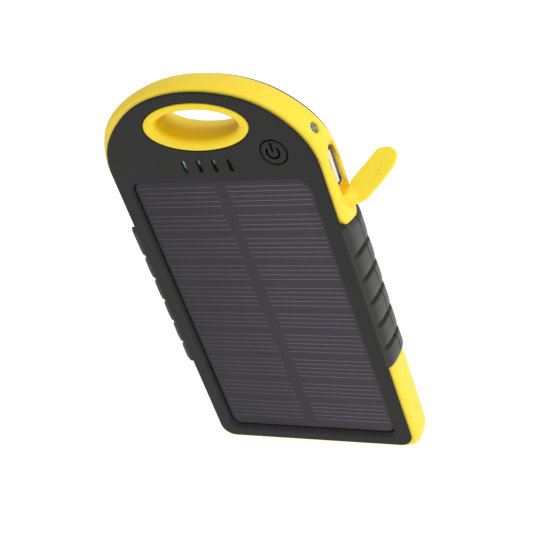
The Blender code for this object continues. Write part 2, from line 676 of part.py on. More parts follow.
def leads():
    red = material("red_wire", (0.5, 0.02, 0.02), 0.5)
    black = material("black_wire", (0.02, 0.02, 0.02), 0.5)
    tabs = BATTERY_LOW + BATTERY[2] + GAP
    back = BOARD_DEPTH + BOARD_THICK + GAP + 0.5
    for name, x, mat in (("battery_lead_plus", -14.0, red), ("battery_lead_minus", -18.0, black)):
        tube_along(name, [(x, 8.0, tabs), (x, 8.1, tabs + 1.4), (x, 7.6, tabs + 3.4), (x, back + 0.3, tabs + 6),
                          (x, back, tabs + 8.5)], 0.5, mat)
    for name, x, mat in (("panel_lead_plus", 4.0, red), ("panel_lead_minus", -4.0, black)):
        tube_along(name, [(x, 2.7 + GAP, 101.0), (x, 3.4, 101.0), (x, BOARD_DEPTH - GAP, 101.0)], 0.4, mat)


def screws():
    for word, (x, z) in SCREW_PLACES.items():
        back = back_depth(z)
        seat = back - 1.7 + GAP
        turned(f"case_screw_{word}",
               [(SCREW_HEAD_RADIUS, back - 0.25 - seat), (SCREW_HEAD_RADIUS, 0.0),
                (SCREW_SHANK_RADIUS, 0.0), (SCREW_SHANK_RADIUS, 5.6 - seat), (0.4, 5.5 - seat)],
               steel(), place(x, seat, z), (0, 1, 0), sides=20)


def build():
    remove_everything()
    front_shell()
    back_shell()
    bumpers()
    loop_ring()
    solar_panel()
    power_button()
    charge_lights()
    torch()
    usb_socket()
    micro_socket()
    usb_cover()
    micro_usb_cover()
    circuit_board()
    battery()
    leads()
    screws()


build()
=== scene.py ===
"""Looks of the pocket solar charger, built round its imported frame.

Lengths in this file are millimetres, in the charger's own measures: x to the side that has the USB socket, z up
the charger's length, and a depth from its front face towards its back. place() turns them into metres.
"""
import math

import bmesh
import bpy
from mathutils import Matrix, Quaternion, Vector


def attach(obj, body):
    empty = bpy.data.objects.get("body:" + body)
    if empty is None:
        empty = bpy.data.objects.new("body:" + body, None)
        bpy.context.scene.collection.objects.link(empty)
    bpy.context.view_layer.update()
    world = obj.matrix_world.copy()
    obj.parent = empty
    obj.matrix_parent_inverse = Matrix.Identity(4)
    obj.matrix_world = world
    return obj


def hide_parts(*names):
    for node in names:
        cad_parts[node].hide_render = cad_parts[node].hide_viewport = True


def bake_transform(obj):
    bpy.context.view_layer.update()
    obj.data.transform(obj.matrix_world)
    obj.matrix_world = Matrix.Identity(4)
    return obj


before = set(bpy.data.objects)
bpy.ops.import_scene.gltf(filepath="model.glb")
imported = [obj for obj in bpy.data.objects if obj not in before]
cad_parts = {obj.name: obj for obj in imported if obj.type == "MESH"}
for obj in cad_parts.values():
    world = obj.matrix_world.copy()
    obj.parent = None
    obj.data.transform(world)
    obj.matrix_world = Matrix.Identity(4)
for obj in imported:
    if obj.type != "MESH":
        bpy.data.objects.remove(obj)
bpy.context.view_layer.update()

MM = 0.001
GAP = 0.3                                            # between fixed neighbours
HALF_WIDTH, THICKNESS = 35.3, 13.6                   # the outline: the shells' edge, from which offsets count
MIDDLE = THICKNESS / 2
FOOT_RISE, CORNER_RADIUS = 1.5, 4.6
ARCH_START, ARCH_RISE = 112.5, 27.4
TAPER_START, TAPER_END, LOOP_END_THICKNESS = 106.0, 136.0, 10.9
BULGE, LIP, BUMPER_INNER = 1.8, 0.6, -2.0            # bumper's crown, depth of the shells' lips, bumper's inside
SKIRT_OUTER, SKIRT_INNER, SPLIT = -2.3, -3.7, 7.8    # the shells' side wall and the depth where they meet
FRONT_PLATE, BACK_PLATE = 1.8, 1.6
SIDE_WALL = (30.0, 36.0)                             # x range that a passage through the side wall covers
GRIP_LOW, GRIP_HIGH, GRIP_MARGIN = 35.7, 89.3, 1.2
GRIP_SLANT, TOP_SLANT = 0.08, 0.25
SLANT_START, SLANT_RUN_IN = 8, 24                    # heights over which the grips' slant comes and goes
SLANT_END, SLANT_RUN_OUT = 92, 13
CURL_FRONT, CURL_FRONT_DEPTH = 1.8, 2.2              # how the slanted line curls at the grips' upper ends
CURL_BACK, CURL_BACK_FROM, CURL_BACK_DEPTH = 2.4, 8.6, 3.4
CURL_Z, CURL_SPREAD = GRIP_HIGH + 1, 5
GROOVES = [43.6 + 9.0 * k for k in range(5)]
GRIP_BULGE, GROOVE_DROP, GROOVE_TOP, GROOVE_FLOOR = 2.25, 1.1, 1.1, 0.5
GROOVE_FADE_FROM, GROOVE_FADE = 0.12, 0.3            # shares of the grip's rise over which a groove fades in
LOBE_CROWN, LOBE_REACH = 0.30, 3.2
SHOULDER_DROP, SHOULDER_REACH = 0.95, 1.8
FRONT_FULLNESS = 0.3
GRIP_FRONT_POWER, GRIP_BACK_POWER = 3.6, 2.0         # 2 is a round section, more is squarer
CROWN_FRONT_POWER, CROWN_BACK_POWER = 3.2, 2.3
CROWN_SUNK, CROWN_SUNK_SIDES = 0.5, 0.4
SIDE_MIDDLE, SIDE_HALF = 6.65, 5.75                  # the upper bumper's mid-depth and half its depth by the sockets
CORNER_FULLNESS = [(1.0, -45, 24)]                   # each hump: amount, turn in degrees, spread in degrees
ARCH_SHIFT = [(0.4, 55, 17), (-0.5, 141, 16)]
ARCH_FULLNESS = [(1.35, 143, 17), (0.25, 12, 14)]
PANEL_HALF, PANEL_LOW, PANEL_HIGH, PANEL_DEPTH = 29.8, 6.7, 108.3, 1.2
PANEL_CORNERS = (2.8, 4.2, 2.6, 2.6)                 # lower right, upper right, upper left, lower left
SEAT_DEPTH = 3.2
CELL_WELL = (-27.5, 27.5, 9, 106)                    # left, right, bottom, top
WINDOW = (-31.1, 30.3, 4.4, 109.0)                   # left, right, bottom, top
WINDOW_CORNERS = (3.2, 4.6, 3.2, 3.8)
LOOP_Z = 128.1
LOOP_HOLE = (15.5, 6.3)                              # the shells' hole behind the loop ring's rim
BUTTON_X, BUTTON_Z, BUTTON_RADIUS = 22.4, 118.4, 4.15
SLOT_X, SLOT_Z = (-8.5, -3.35, 1.8, 6.95), 114.5
TORCH_ANGLE, TORCH_DEPTH, TORCH_RADIUS = 20.0, 5.6, 2.0
USB_Z, USB_DEPTH, USB_MOUTH, USB_LENGTH = 107.2, 8.35, 35.0, 14.0
USB_WIDE, USB_TALL, USB_WALL = 13.1, 5.1, 0.35
TONGUE_HALF, TONGUE_THICK, TONGUE_DROP = 5.55, 1.84, 1.5
MICRO_Z, MICRO_DEPTH, MICRO_WIDE, MICRO_TALL = 107.2, 7.35, 7.6, 2.8
MICRO_MOUTH, MICRO_LENGTH, MICRO_WALL = 34.7, 5.4, 0.3
POCKET_FLOOR = 34.9
MICRO_POCKET = (4.2, 10.6, 100.4, 114.0)
COVER_OUTER = HALF_WIDTH + BULGE - 0.25
COVER_HINGE = (COVER_OUTER, 11.0, 99.6)
COVER_SLANT, COVER_OPEN, COVER_THICK = 41.5, 94.0, 1.5
SCREWS = {"lower_left": (-26.6, 7.9), "lower_right": (26.6, 7.9),
          "upper_left": (-21.6, 126.4), "upper_right": (21.6, 126.4)}


# ---- places and curves ----
def place(x, depth, z):
    """A point in the frame's metres."""
    return Vector((x, depth - MIDDLE, z)) * MM


def back_depth(z):
    t = min(max((z - TAPER_START) / (TAPER_END - TAPER_START), 0.0), 1.0)
    return THICKNESS + (LOOP_END_THICKNESS - THICKNESS) * (0.35 * t * t * (3 - 2 * t) + 0.65 * t)


def smooth(t):
    t = min(max(t, 0.0), 1.0)
    return t * t * (3 - 2 * t)


def mix(a, b, t):
    return a + (b - a) * t


def hump(value, middle, spread):
    return math.exp(-((value - middle) / spread) ** 2)


def humps(value, terms):
    return sum(amount * hump(value, middle, spread) for amount, middle, spread in terms)


def slanted(z, depth):
    """Height at a depth of the slanted line that passes mid-depth at z. At the grips' upper ends the line curls up
    towards the front face and towards the back."""
    up = min(max((z - GRIP_LOW) / (GRIP_HIGH - GRIP_LOW), 0.0), 1.0)
    slope = GRIP_SLANT + (TOP_SLANT - GRIP_SLANT) * up ** 8
    slope *= smooth((z - SLANT_START) / SLANT_RUN_IN) * (1 - smooth((z - SLANT_END) / SLANT_RUN_OUT))
    curl = CURL_FRONT * (1 - smooth(depth / CURL_FRONT_DEPTH))
    curl += CURL_BACK * smooth((depth - CURL_BACK_FROM) / CURL_BACK_DEPTH)
    return z - slope * (depth - MIDDLE) + curl * hump(z, CURL_Z, CURL_SPREAD)


class Station:
    """A place on the outline: its point and its outward direction. On a side its line slants with depth. extra is
    how much fuller a bumper is there."""

    def __init__(self, x, z, nx, nz, side=0):
        self.x, self.z, self.nx, self.nz, self.side = x, z, nx, nz, side
        self.extra = 0.0

    def at(self, offset, depth):
        z = slanted(self.z, depth) if self.side else self.z
        return place(self.x + self.nx * offset, depth, z + self.nz * offset)

    def mirrored(self):
        other = Station(-self.x, self.z, -self.nx, self.nz, self.side)
        other.extra = self.extra
        return other


def corner_stations(steps=10):
    out = []
    for k in range(steps + 1):
        a = math.radians(-90 + 90 * k / steps)
        out.append(Station(HALF_WIDTH - CORNER_RADIUS * (1 - math.cos(a)),
                           FOOT_RISE + CORNER_RADIUS * (1 + math.sin(a)), math.cos(a), math.sin(a)))
        out[-1].extra = humps(math.degrees(a), CORNER_FULLNESS)
    return out


def arch_stations(steps=44):
    """The arch over the top, from the right shoulder to the left. The real one isn't quite even: its right shoulder
    is fuller, and its left shoulder has a thicker bumper."""
    out = []
    for k in range(2 * steps + 1):
        a = math.pi / 2 * k / steps
        n = Vector((math.cos(a) / HALF_WIDTH, math.sin(a) / ARCH_RISE)).normalized()
        shift = humps(math.degrees(a), ARCH_SHIFT)
        out.append(Station(HALF_WIDTH * math.cos(a) + n.x * shift, ARCH_START + ARCH_RISE * math.sin(a) + n.y * shift,
                           n.x, n.y))
        out[-1].extra = humps(math.degrees(a), ARCH_FULLNESS)
    return out


def side_stations(heights):
    return [Station(HALF_WIDTH, z, 1, 0, side=1) for z in heights]


def grip_heights():
    """Heights of the grips' sections, close together where a groove or an end bends the surface."""
    heights = [GRIP_LOW + rise for rise in (0, 0.12, 0.35, 0.8, 2, 4)]
    for z in GROOVES:
        steps = (-1.9, -1.3, -GROOVE_TOP, -0.9, -0.7, -GROOVE_FLOOR, -0.2, 0.2,
                 GROOVE_FLOOR, 0.7, 0.9, GROOVE_TOP, 1.3, 1.9, 3.2, 4.5)
        heights += [z + d for d in steps]
    last = GROOVES[-1] + 4.5
    heights += [mix(last, GRIP_HIGH, t) for t in (0.35, 0.65)]
    return heights + [GRIP_HIGH - drop for drop in (1.4, 0.8, 0.35, 0.12, 0)]


def grip_rise(z, depth, out):
    """How far the grip stands out beyond the outline at its middle: lobes with rounded shoulders and deep grooves.
    The grooves fade towards both faces, where the grip hardly stands out."""
    nearest = min(abs(z - g) for g in GROOVES)
    dip = 1 - smooth((nearest - GROOVE_FLOOR) / (GROOVE_TOP - GROOVE_FLOOR))
    dip *= smooth((out - GROOVE_FADE_FROM) / GROOVE_FADE)
    lobe = LOBE_CROWN * (1 - smooth(nearest / LOBE_REACH))
    end = min(z - GRIP_LOW, GRIP_HIGH - z)
    shoulder = SHOULDER_DROP * (1 - min(end / SHOULDER_REACH, 1.0)) ** 2
    fuller = FRONT_FULLNESS * (1 - smooth(depth / THICKNESS))
    return GRIP_BULGE + fuller - GROOVE_DROP * dip - lobe - shoulder


def grip_point(z, turn):
    """A point of the grip's round section, as (offset, depth). The turn runs from the front face to the back.
    The front half is squarer than the back."""
    power = GRIP_FRONT_POWER if turn < 0 else GRIP_BACK_POWER
    out, across = math.cos(turn) ** (2 / power), math.copysign(abs(math.sin(turn)) ** (2 / power), turn)
    depth = MIDDLE * (1 + across)
    return grip_rise(z, depth, out) * out, depth


# ---- meshes ----
def to_mesh(name, bm, mats=()):
    """An object made of a bmesh, with doubled points merged and faces turned outward."""
    bmesh.ops.remove_doubles(bm, verts=bm.verts, dist=2e-7)
    bmesh.ops.recalc_face_normals(bm, faces=bm.faces)
    mesh = bpy.data.meshes.new(name)
    bm.to_mesh(mesh)
    bm.free()
    for mat in mats:
        mesh.materials.append(mat)
    obj = bpy.data.objects.new(name, mesh)
    bpy.context.scene.collection.objects.link(obj)
    return obj


def loft(name, rings, mats=(), caps="flat"):
    """Joins rings of equal length. Caps are flat, ladder (for left-right symmetric rings) or none (a closed loop)."""
    bm = bmesh.new()
    made = [[bm.verts.new(p) for p in ring] for ring in rings]
    pairs = list(zip(made, made[1:]))
    if caps == "none":
        pairs.append((made[-1], made[0]))
    for a, b in pairs:
        for i in range(len(a)):
            j = (i + 1) % len(a)
            bm.faces.new((a[i], a[j], b[j], b[i]))
    if caps == "flat":
        bm.faces.new(made[0])
        bm.faces.new(made[-1])
    if caps == "ladder":
        for ring in (made[0], made[-1]):
            last = len(ring) - 1
            for i in range(last // 2):
                strip = [ring[i], ring[i + 1], ring[last - i - 1], ring[last - i]]
                bm.faces.new(list(dict.fromkeys(strip)))
    return to_mesh(name, bm, mats)


def carve(obj, *cutters):
    """Cuts shapes out of a piece for good, then removes them."""
    for cutter in cutters:
        mod = obj.modifiers.new(cutter.name, "BOOLEAN")
        mod.operation, mod.solver, mod.object, mod.material_mode = "DIFFERENCE", "EXACT", cutter, "TRANSFER"
    settle(obj)
    for cutter in cutters:
        bpy.data.objects.remove(cutter, do_unlink=True)


def settle(obj):
    """Turns a piece's modifiers into plain mesh."""
    graph = bpy.context.evaluated_depsgraph_get()
    mesh = bpy.data.meshes.new_from_object(obj.evaluated_get(graph))
    obj.modifiers.clear()
    old, obj.data = obj.data, mesh
    bpy.data.meshes.remove(old)
    mesh.name = obj.name


def shade(obj, angle=38):
    """Smooth shading that keeps edges sharper than the angle, with even normals over flat faces."""
    obj.data.shade_smooth()
    obj.data.set_sharp_from_angle(angle=math.radians(angle))
    mod = obj.modifiers.new("even_shading", "WEIGHTED_NORMAL")
    mod.keep_sharp = True


def piece(obj, body, slot, *replaced, angle=38):
    """Finishes a visual piece: its shading, body and the CAD nodes it stands for. Its slot is not used."""
    shade(obj, angle)
    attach(obj, body)
    if replaced:
        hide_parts(*replaced)
    return obj


def oval(half_x, half_z, depth, sides=96):
    """An oval round the loop's middle. Its depth is a number or a function of height."""
    ring = []
    for i in range(sides):
        a = 2 * math.pi * i / sides
        up = LOOP_Z + half_z * math.sin(a)
        ring.append(place(half_x * math.cos(a), depth(up) if callable(depth) else depth, up))
    return ring


def round_rect(x0, x1, z0, z1, corners, depth, steps=8):
    """A rectangle with its own radius at each corner: lower right, upper right, upper left, lower left."""
    ring = []
    r0, r1, r2, r3 = corners
    for cx, cz, r, start in ((x1 - r0, z0 + r0, r0, -90), (x1 - r1, z1 - r1, r1, 0),
                             (x0 + r2, z1 - r2, r2, 90), (x0 + r3, z0 + r3, r3, 180)):
        for k in range(steps + 1):
            a = math.radians(start + 90 * k / steps)
            ring.append(place(cx + r * math.cos(a), depth, cz + r * math.sin(a)))
    return ring


def turned(name, profile, centre, axis, mats=(), sides=48):
    """A solid turned from (radius, height) points about an axis."""
    turn = Vector((0, 0, 1)).rotation_difference(Vector(axis)).to_matrix()
    rings = []
    for radius, height in profile:
        rings.append([centre + turn @ (Vector((radius * math.cos(a), radius * math.sin(a), height)) * MM)
                      for a in (2 * math.pi * i / sides for i in range(sides))])
    return loft(name, rings, mats)


def block(name, low, high, mats=(), edge=0.0, steps=2):
    """A block between two corners given as (x, depth, z), with softened edges."""
    bm = bmesh.new()
    bmesh.ops.create_cube(bm, size=1.0)
    a, b = place(*low), place(*high)
    for v in bm.verts:
        v.co = Vector([mix(a[i], b[i], v.co[i] + 0.5) for i in range(3)])
    if edge:
        bmesh.ops.bevel(bm, geom=list(bm.edges), offset=edge * MM, segments=steps, affect="EDGES", profile=0.5)
    return to_mesh(name, bm, mats)


def torch_frame():
    """The torch's place on the arch and the direction it faces."""
    a = math.radians(TORCH_ANGLE)
    axis = Vector((math.cos(a) / HALF_WIDTH, 0, math.sin(a) / ARCH_RISE)).normalized()
    return place(HALF_WIDTH * math.cos(a), TORCH_DEPTH, ARCH_START + ARCH_RISE * math.sin(a)), axis


def socket_passages(owner, inner, outer):
    """Shapes that let both sockets through a side wall."""
    side, tall = USB_WIDE / 2 + GAP, USB_TALL / 2 + GAP
    usb = block(f"{owner}_usb_way", (inner, USB_DEPTH - tall, USB_Z - side), (outer, USB_DEPTH + tall, USB_Z + side))
    side, tall = MICRO_WIDE / 2 + GAP, MICRO_TALL / 2 + GAP
    micro = block(f"{owner}_micro_way", (-outer, MICRO_DEPTH - tall, MICRO_Z - side),
                  (-inner, MICRO_DEPTH + tall, MICRO_Z + side))
    return usb, micro


# ---- materials ----
def mapped(tree, value, low, high, at_low=0.0, at_high=1.0):
    """A node that maps a socket's value from one range to another."""
    node = tree.nodes.new("ShaderNodeMapRange")
    for word, number in (("From Min", low), ("From Max", high), ("To Min", at_low), ("To Max", at_high)):
        node.inputs[word].default_value = number
    tree.links.new(value, node.inputs["Value"])
    return node


def ramp(tree, axis, start, end):
    """A node that rises from 0 to 1 along an axis, between two places given in millimetres."""
    split = tree.nodes.new("ShaderNodeSeparateXYZ")
    tree.links.new(tree.nodes.new("ShaderNodeTexCoord").outputs["Object"], split.inputs[0])
    return mapped(tree, split.outputs[axis], start * MM, end * MM)


def blended(tree, factor, a, b):
    """Mixes a colour, or the colour that a socket gives, with another colour."""
    node = tree.nodes.new("ShaderNodeMix")
    node.data_type = "RGBA"
    tree.links.new(factor, node.inputs["Factor"])
    if isinstance(a, tuple):
        node.inputs["A"].default_value = (*a, 1)
    else:
        tree.links.new(a, node.inputs["A"])
    node.inputs["B"].default_value = (*b, 1)
    return node.outputs["Result"]


def surface(name, colour, rough, variation=0.06, patch=220.0, grain=1800.0, bump=0.12, metallic=0.0, **sockets):
    """A material whose colour drifts in soft patches and whose surface has a fine grain."""
    mat = bpy.data.materials.new(name)
    mat.use_nodes = True
    tree = mat.node_tree
    nodes, link = tree.nodes, tree.links.new
    shader = nodes["Principled BSDF"]
    where = nodes.new("ShaderNodeTexCoord").outputs["Object"]
    patches, fine = nodes.new("ShaderNodeTexNoise"), nodes.new("ShaderNodeTexNoise")
    for noise, scale, detail in ((patches, patch, 4.0), (fine, grain, 3.0)):
        noise.inputs["Scale"].default_value = scale
        noise.inputs["Detail"].default_value = detail
        link(where, noise.inputs["Vector"])
    tint = blended(tree, patches.outputs["Fac"], tuple(c * (1 - variation) for c in colour),
                   tuple(min(c * (1 + variation), 1.0) for c in colour))
    link(tint, shader.inputs["Base Color"])
    gloss = mapped(tree, fine.outputs["Fac"], 0.0, 1.0, rough - 0.05, rough + 0.05)
    link(gloss.outputs["Result"], shader.inputs["Roughness"])
    relief = nodes.new("ShaderNodeBump")
    relief.inputs["Strength"].default_value = bump
    relief.inputs["Distance"].default_value = 0.00004
    link(fine.outputs["Fac"], relief.inputs["Height"])
    link(relief.outputs["Normal"], shader.inputs["Normal"])
    shader.inputs["Metallic"].default_value = metallic
    for socket, value in sockets.items():
        shader.inputs[socket.replace("_", " ")].default_value = value
    return mat


def fade(mat, axis, start, end, colour):
    """Turns a material's colour into another one along an axis, between two places given in millimetres."""
    tree = mat.node_tree
    base = tree.nodes["Principled BSDF"].inputs["Base Color"]
    amount = ramp(tree, axis, start, end)
    amount.interpolation_type = "SMOOTHSTEP"
    tree.links.new(blended(tree, amount.outputs["Result"], base.links[0].from_socket, colour), base)


TPU = (0.93, 0.69, 0.038)
SOFT = dict(variation=0.03, bump=0.12, grain=1500, Specular_IOR_Level=0.4, Subsurface_Weight=0.05,
            Subsurface_Radius=(0.002, 0.0011, 0.0003), Subsurface_Scale=1.0)
SHELL_BLACK = surface("shell_black", (0.0170, 0.0170, 0.0165), 0.48, bump=0.3, grain=2600, Specular_IOR_Level=0.20)
GRIP_BLACK = surface("grip_black", (0.022, 0.022, 0.021), 0.42, bump=0.25, grain=2600, Specular_IOR_Level=0.40)
YELLOW = surface("tpu_yellow", TPU, 0.46, **SOFT)
LINING_PAINTED_SHADING = surface("tpu_yellow_lining_painted_shading", TPU, 0.5, **{**SOFT, "Specular_IOR_Level": 0.15})
fade(LINING_PAINTED_SHADING, "Y", -6.9, -4.4, (0.66, 0.42, 0.0005))          # painted shade: deeper orange in the throat; painted light: lighter again where the back lets light in
fade(LINING_PAINTED_SHADING, "Y", -2.0, 3.5, (0.98, 0.80, 0.12))             # lets light in
RECESS_PAINTED_SHADE = surface("tpu_yellow_recess_painted_shade", TPU, 0.5, **SOFT)
# painted shade: the recess turns deep orange towards its lower end, by the strap
fade(RECESS_PAINTED_SHADE, "Z", 102.6, 99.8, (0.90, 0.50, 0.004))
# painted light: a lighter, more lemon copy of the yellow that brightens the open cover and its strap
COVER_PAINTED_LIGHT = surface("tpu_yellow_cover_painted_light", (0.955, 0.755, 0.042), 0.5, **SOFT)
PANEL_PAINTED_LIGHT = surface("panel_laminate", (0.0125, 0.0105, 0.017), 0.36, variation=0.3, patch=40, bump=0.05, grain=900,
                Specular_IOR_Level=0.24, Coat_Weight=0.06, Coat_Roughness=0.2)
# painted light: the panel turns lighter towards the right
fade(PANEL_PAINTED_LIGHT, "X", -34, 34, (0.031, 0.026, 0.037))
FINGER_PAINTED_LIGHT = surface("conductor_silver", (0.075, 0.07, 0.08), 0.42, bump=0.05)
# painted light: the conductor lines turn lighter towards the right
fade(FINGER_PAINTED_LIGHT, "X", -30, 20, (0.17, 0.16, 0.175))
# painted shade: near black in the power symbol's grooves and the screws' drive recesses
GROOVE_PAINTED_SHADE = surface("groove_painted_shade", (0.001, 0.001, 0.001), 0.6, Specular_IOR_Level=0.03)
STEEL = surface("plated_steel", (0.60, 0.56, 0.52), 0.28, variation=0.08, grain=700, metallic=1.0)
IVORY = surface("insulator_ivory", (0.78, 0.75, 0.68), 0.42)
CONTACT = surface("gilt_contact", (0.83, 0.63, 0.30), 0.25, metallic=1.0)
LENS = surface("torch_clear", (0.16, 0.17, 0.15), 0.1, variation=0.6, patch=1400, Coat_Weight=1.0, Coat_Roughness=0.03)
DIODE = surface("diode_resin", (0.8, 0.84, 0.72), 0.3)
BOARD = surface("board_green", (0.02, 0.12, 0.045), 0.45, variation=0.15, Coat_Weight=0.3, Coat_Roughness=0.2)
CHIP = surface("chip_black", (0.022, 0.022, 0.024), 0.5)
CERAMIC = surface("capacitor_tan", (0.46, 0.31, 0.13), 0.5)
POUCH = surface("pouch_foil", (0.55, 0.56, 0.58), 0.34, variation=0.12, metallic=0.7, bump=0.3, grain=400)
FOAM = surface("pad_foam", (0.11, 0.11, 0.12), 0.9, bump=0.8, grain=2200)
WIRE_RED = surface("wire_red", (0.5, 0.025, 0.02), 0.45)
WIRE_BLACK = surface("wire_black", (0.02, 0.02, 0.022), 0.45)


# ---- front shell ----
EDGE_WIDE, EDGE_DEEP = 0.95, 0.4                     # rounding of the front face's edge
SIDE_BELOW = (10, 16, 24, 31, GRIP_LOW - 0.01)       # heights of the sections below and above the grips
SIDE_ABOVE = (GRIP_HIGH + 0.01, 92, 96, 101, 106, 109)


def shell_lip(_z, points=18):
    """Front shell's edge beside a bumper, as (offset, depth). It is the same at every height."""
    out = []
    bend = 12
    for k in range(bend + 1):
        a = math.pi / 2 * k / bend
        out.append((EDGE_WIDE * (math.sin(a) - 1), EDGE_DEEP * (1 - math.cos(a)) ** 1.15))
    rest = points - bend - 1
    out += [(-0.05 * k, mix(EDGE_DEEP, LIP, (k + 1) / rest)) for k in range(rest)]
    return out


def front_grip_curve(z, points=18):
    """Front half of the grip's section, from the front face to the parting line."""
    end = math.asin((SPLIT - 0.15) / MIDDLE - 1)
    out = [grip_point(z, mix(-math.pi / 2, end, (k / (points - 2)) ** 1.25)) for k in range(points - 1)]
    return out + [(out[-1][0] - 0.18, SPLIT)]


def front_ring(station, outer):
    """The front shell's section at a station: face, outer part, side wall, inside."""
    under = outer[-1][1]
    section = [(-1.6, 0.0)] + outer + [(SKIRT_OUTER, under), (SKIRT_OUTER, SPLIT), (SKIRT_INNER, SPLIT),
                                       (SKIRT_INNER, FRONT_PLATE)]
    return [station.at(o, d) for o, d in section]


def side_rows(lip, grip):
    """Sections up the right side, from the lower corner to the arch, as (station, outer part of the section)."""
    rows = [(s, lip(s.z)) for s in corner_stations()]
    rows += [(s, lip(s.z)) for s in side_stations(SIDE_BELOW)]
    rows += [(s, grip(s.z)) for s in side_stations(grip_heights())]
    return rows + [(s, lip(s.z)) for s in side_stations(SIDE_ABOVE)]


def shell_rings(section, lip, grip):
    """A shell's rings, each of them one line of its section carried round the whole outline."""
    right = side_rows(lip, grip)
    rows = [section(s, outer) for s, outer in right]
    rows += [section(s, lip(s.z)) for s in arch_stations()]
    rows += [section(s.mirrored(), outer) for s, outer in reversed(right)]
    return [list(ring) for ring in zip(*rows)]


def front_shell():
    shell = loft("front_frame", shell_rings(front_ring, shell_lip, front_grip_curve), [SHELL_BLACK, GRIP_BLACK])
    rubber_grips(shell)
    carve(shell, window_cutter())
    carve(shell, ring_seat_cutter())
    way = [(BUTTON_RADIUS + gap, depth) for gap, depth in ((0.46, -1), (0.46, -0.003), (0.34, 0.05), (0.25, 0.16),
                                                           (0.25, 9))]
    cutters = [turned("button_way", way, place(BUTTON_X, 0, BUTTON_Z), (0, 1, 0), [SHELL_BLACK], sides=64)]
    cutters += [slot_cutter(n, x) for n, x in enumerate(SLOT_X, 1)]
    cutters += socket_passages("front", *SIDE_WALL)
    centre, axis = torch_frame()
    cutters.append(turned("torch_way", [(TORCH_RADIUS + GAP, -6.5), (TORCH_RADIUS + GAP, 6)], centre, axis))
    carve(shell, *cutters)
    return piece(shell, "case", "black_shell", "front_shell")


def rubber_grips(shell):
    """Gives the grips' bulging faces the grips' own rubber."""
    for face in shell.data.polygons:
        middle = face.center / MM
        if abs(middle.x) > HALF_WIDTH and GRIP_LOW - GRIP_MARGIN < middle.z < GRIP_HIGH + GRIP_MARGIN:
            face.material_index = 1


def window_cutter():
    """The panel's window: its rim rolls over from the face and steepens towards the panel."""
    wide, narrow = 0.32, 0.16                        # gaps round the panel: left and below, right and above
    seat = (-PANEL_HALF - wide, PANEL_HALF + narrow, PANEL_LOW - wide, PANEL_HIGH + narrow)
    seat_corners = [c + 0.2 for c in PANEL_CORNERS]
    steps = [(-0.02, -1.0), (-0.02, -0.004)]
    for t in (0.03, 0.1, 0.25, 0.4, 0.55, 0.7, 0.82, 0.91, 0.97, 1.0):
        steps.append((t, (PANEL_DEPTH + 0.1) * (0.15 * t + 0.85 * (1 - math.sqrt(1 - t ** 2)))))
    rings = []
    for t, depth in steps:
        edges = [mix(a, b, t) for a, b in zip(WINDOW, seat)]
        corners = [mix(a, b, max(t, 0)) for a, b in zip(WINDOW_CORNERS, seat_corners)]
        rings.append(round_rect(*edges, corners, depth))
    rings.append(round_rect(*seat, seat_corners, SEAT_DEPTH))
    rings += [round_rect(*CELL_WELL, (2, 2, 2, 2), depth) for depth in (SEAT_DEPTH + 0.1, 5.0)]
    return loft("window_cutter", rings, [SHELL_BLACK])


def ring_seat_cutter():
    steps = [(17.85, 8.52, -1.0), (17.85, 8.52, -0.004), (17.74, 8.41, 0.05), (17.66, 8.33, 0.18),
             (17.66, 8.33, 0.9), (*LOOP_HOLE, 0.9), (*LOOP_HOLE, 9.0)]
    return loft("ring_seat", [oval(a, b, d) for a, b, d in steps], [SHELL_BLACK])


def slot_ring(x, width, length, depth):
    r = width / 2 - 0.002
    return round_rect(x - width / 2, x + width / 2, SLOT_Z - length / 2, SLOT_Z + length / 2, (r, r, r, r), depth)


def slot_cutter(number, x):
    steps = [(1.62, 4.6, -1.0), (1.62, 4.6, -0.003), (1.48, 4.46, 0.05), (1.4, 4.38, 0.16), (1.4, 4.38, 5.0)]
    return loft(f"slot_cutter_{number}", [slot_ring(x, w, h, d) for w, h, d in steps], [SHELL_BLACK])


# ---- back shell ----
def back_lip(z, points=14):
    """Back shell's edge beside a bumper, as (offset, depth), from the lip to the back face."""
    back = back_depth(z)
    out = [(-0.3, back - LIP - 0.1), (-0.12, back - LIP)]
    for k in range(points - 2):
        a = math.pi / 2 * k / (points - 3)
        out.append((-1.12 + 1.05 * math.cos(a), back - 0.5 + 0.5 * math.sin(a)))
    return out


def back_grip_curve(z, points=14):
    """Back half of the grip's section, from the parting line to the back."""
    start = math.asin((SPLIT + GAP + 0.15) / MIDDLE - 1)
    out = [grip_point(z, mix(start, math.pi / 2, k / (points - 2))) for k in range(points - 1)]
    return [(out[0][0] - 0.18, SPLIT + GAP)] + out


def back_ring(station, outer):
    """The back shell's section at a station: inside, side wall, outer part, back."""
    z, under = station.z, outer[0][1]
    section = [(SKIRT_INNER, back_depth(z) - BACK_PLATE), (SKIRT_INNER, SPLIT + GAP), (SKIRT_OUTER, SPLIT + GAP),
               (SKIRT_OUTER, max(under, SPLIT + GAP + 0.001))] + outer + [(-2.4, back_depth(z))]
    return [station.at(o, d) for o, d in section]


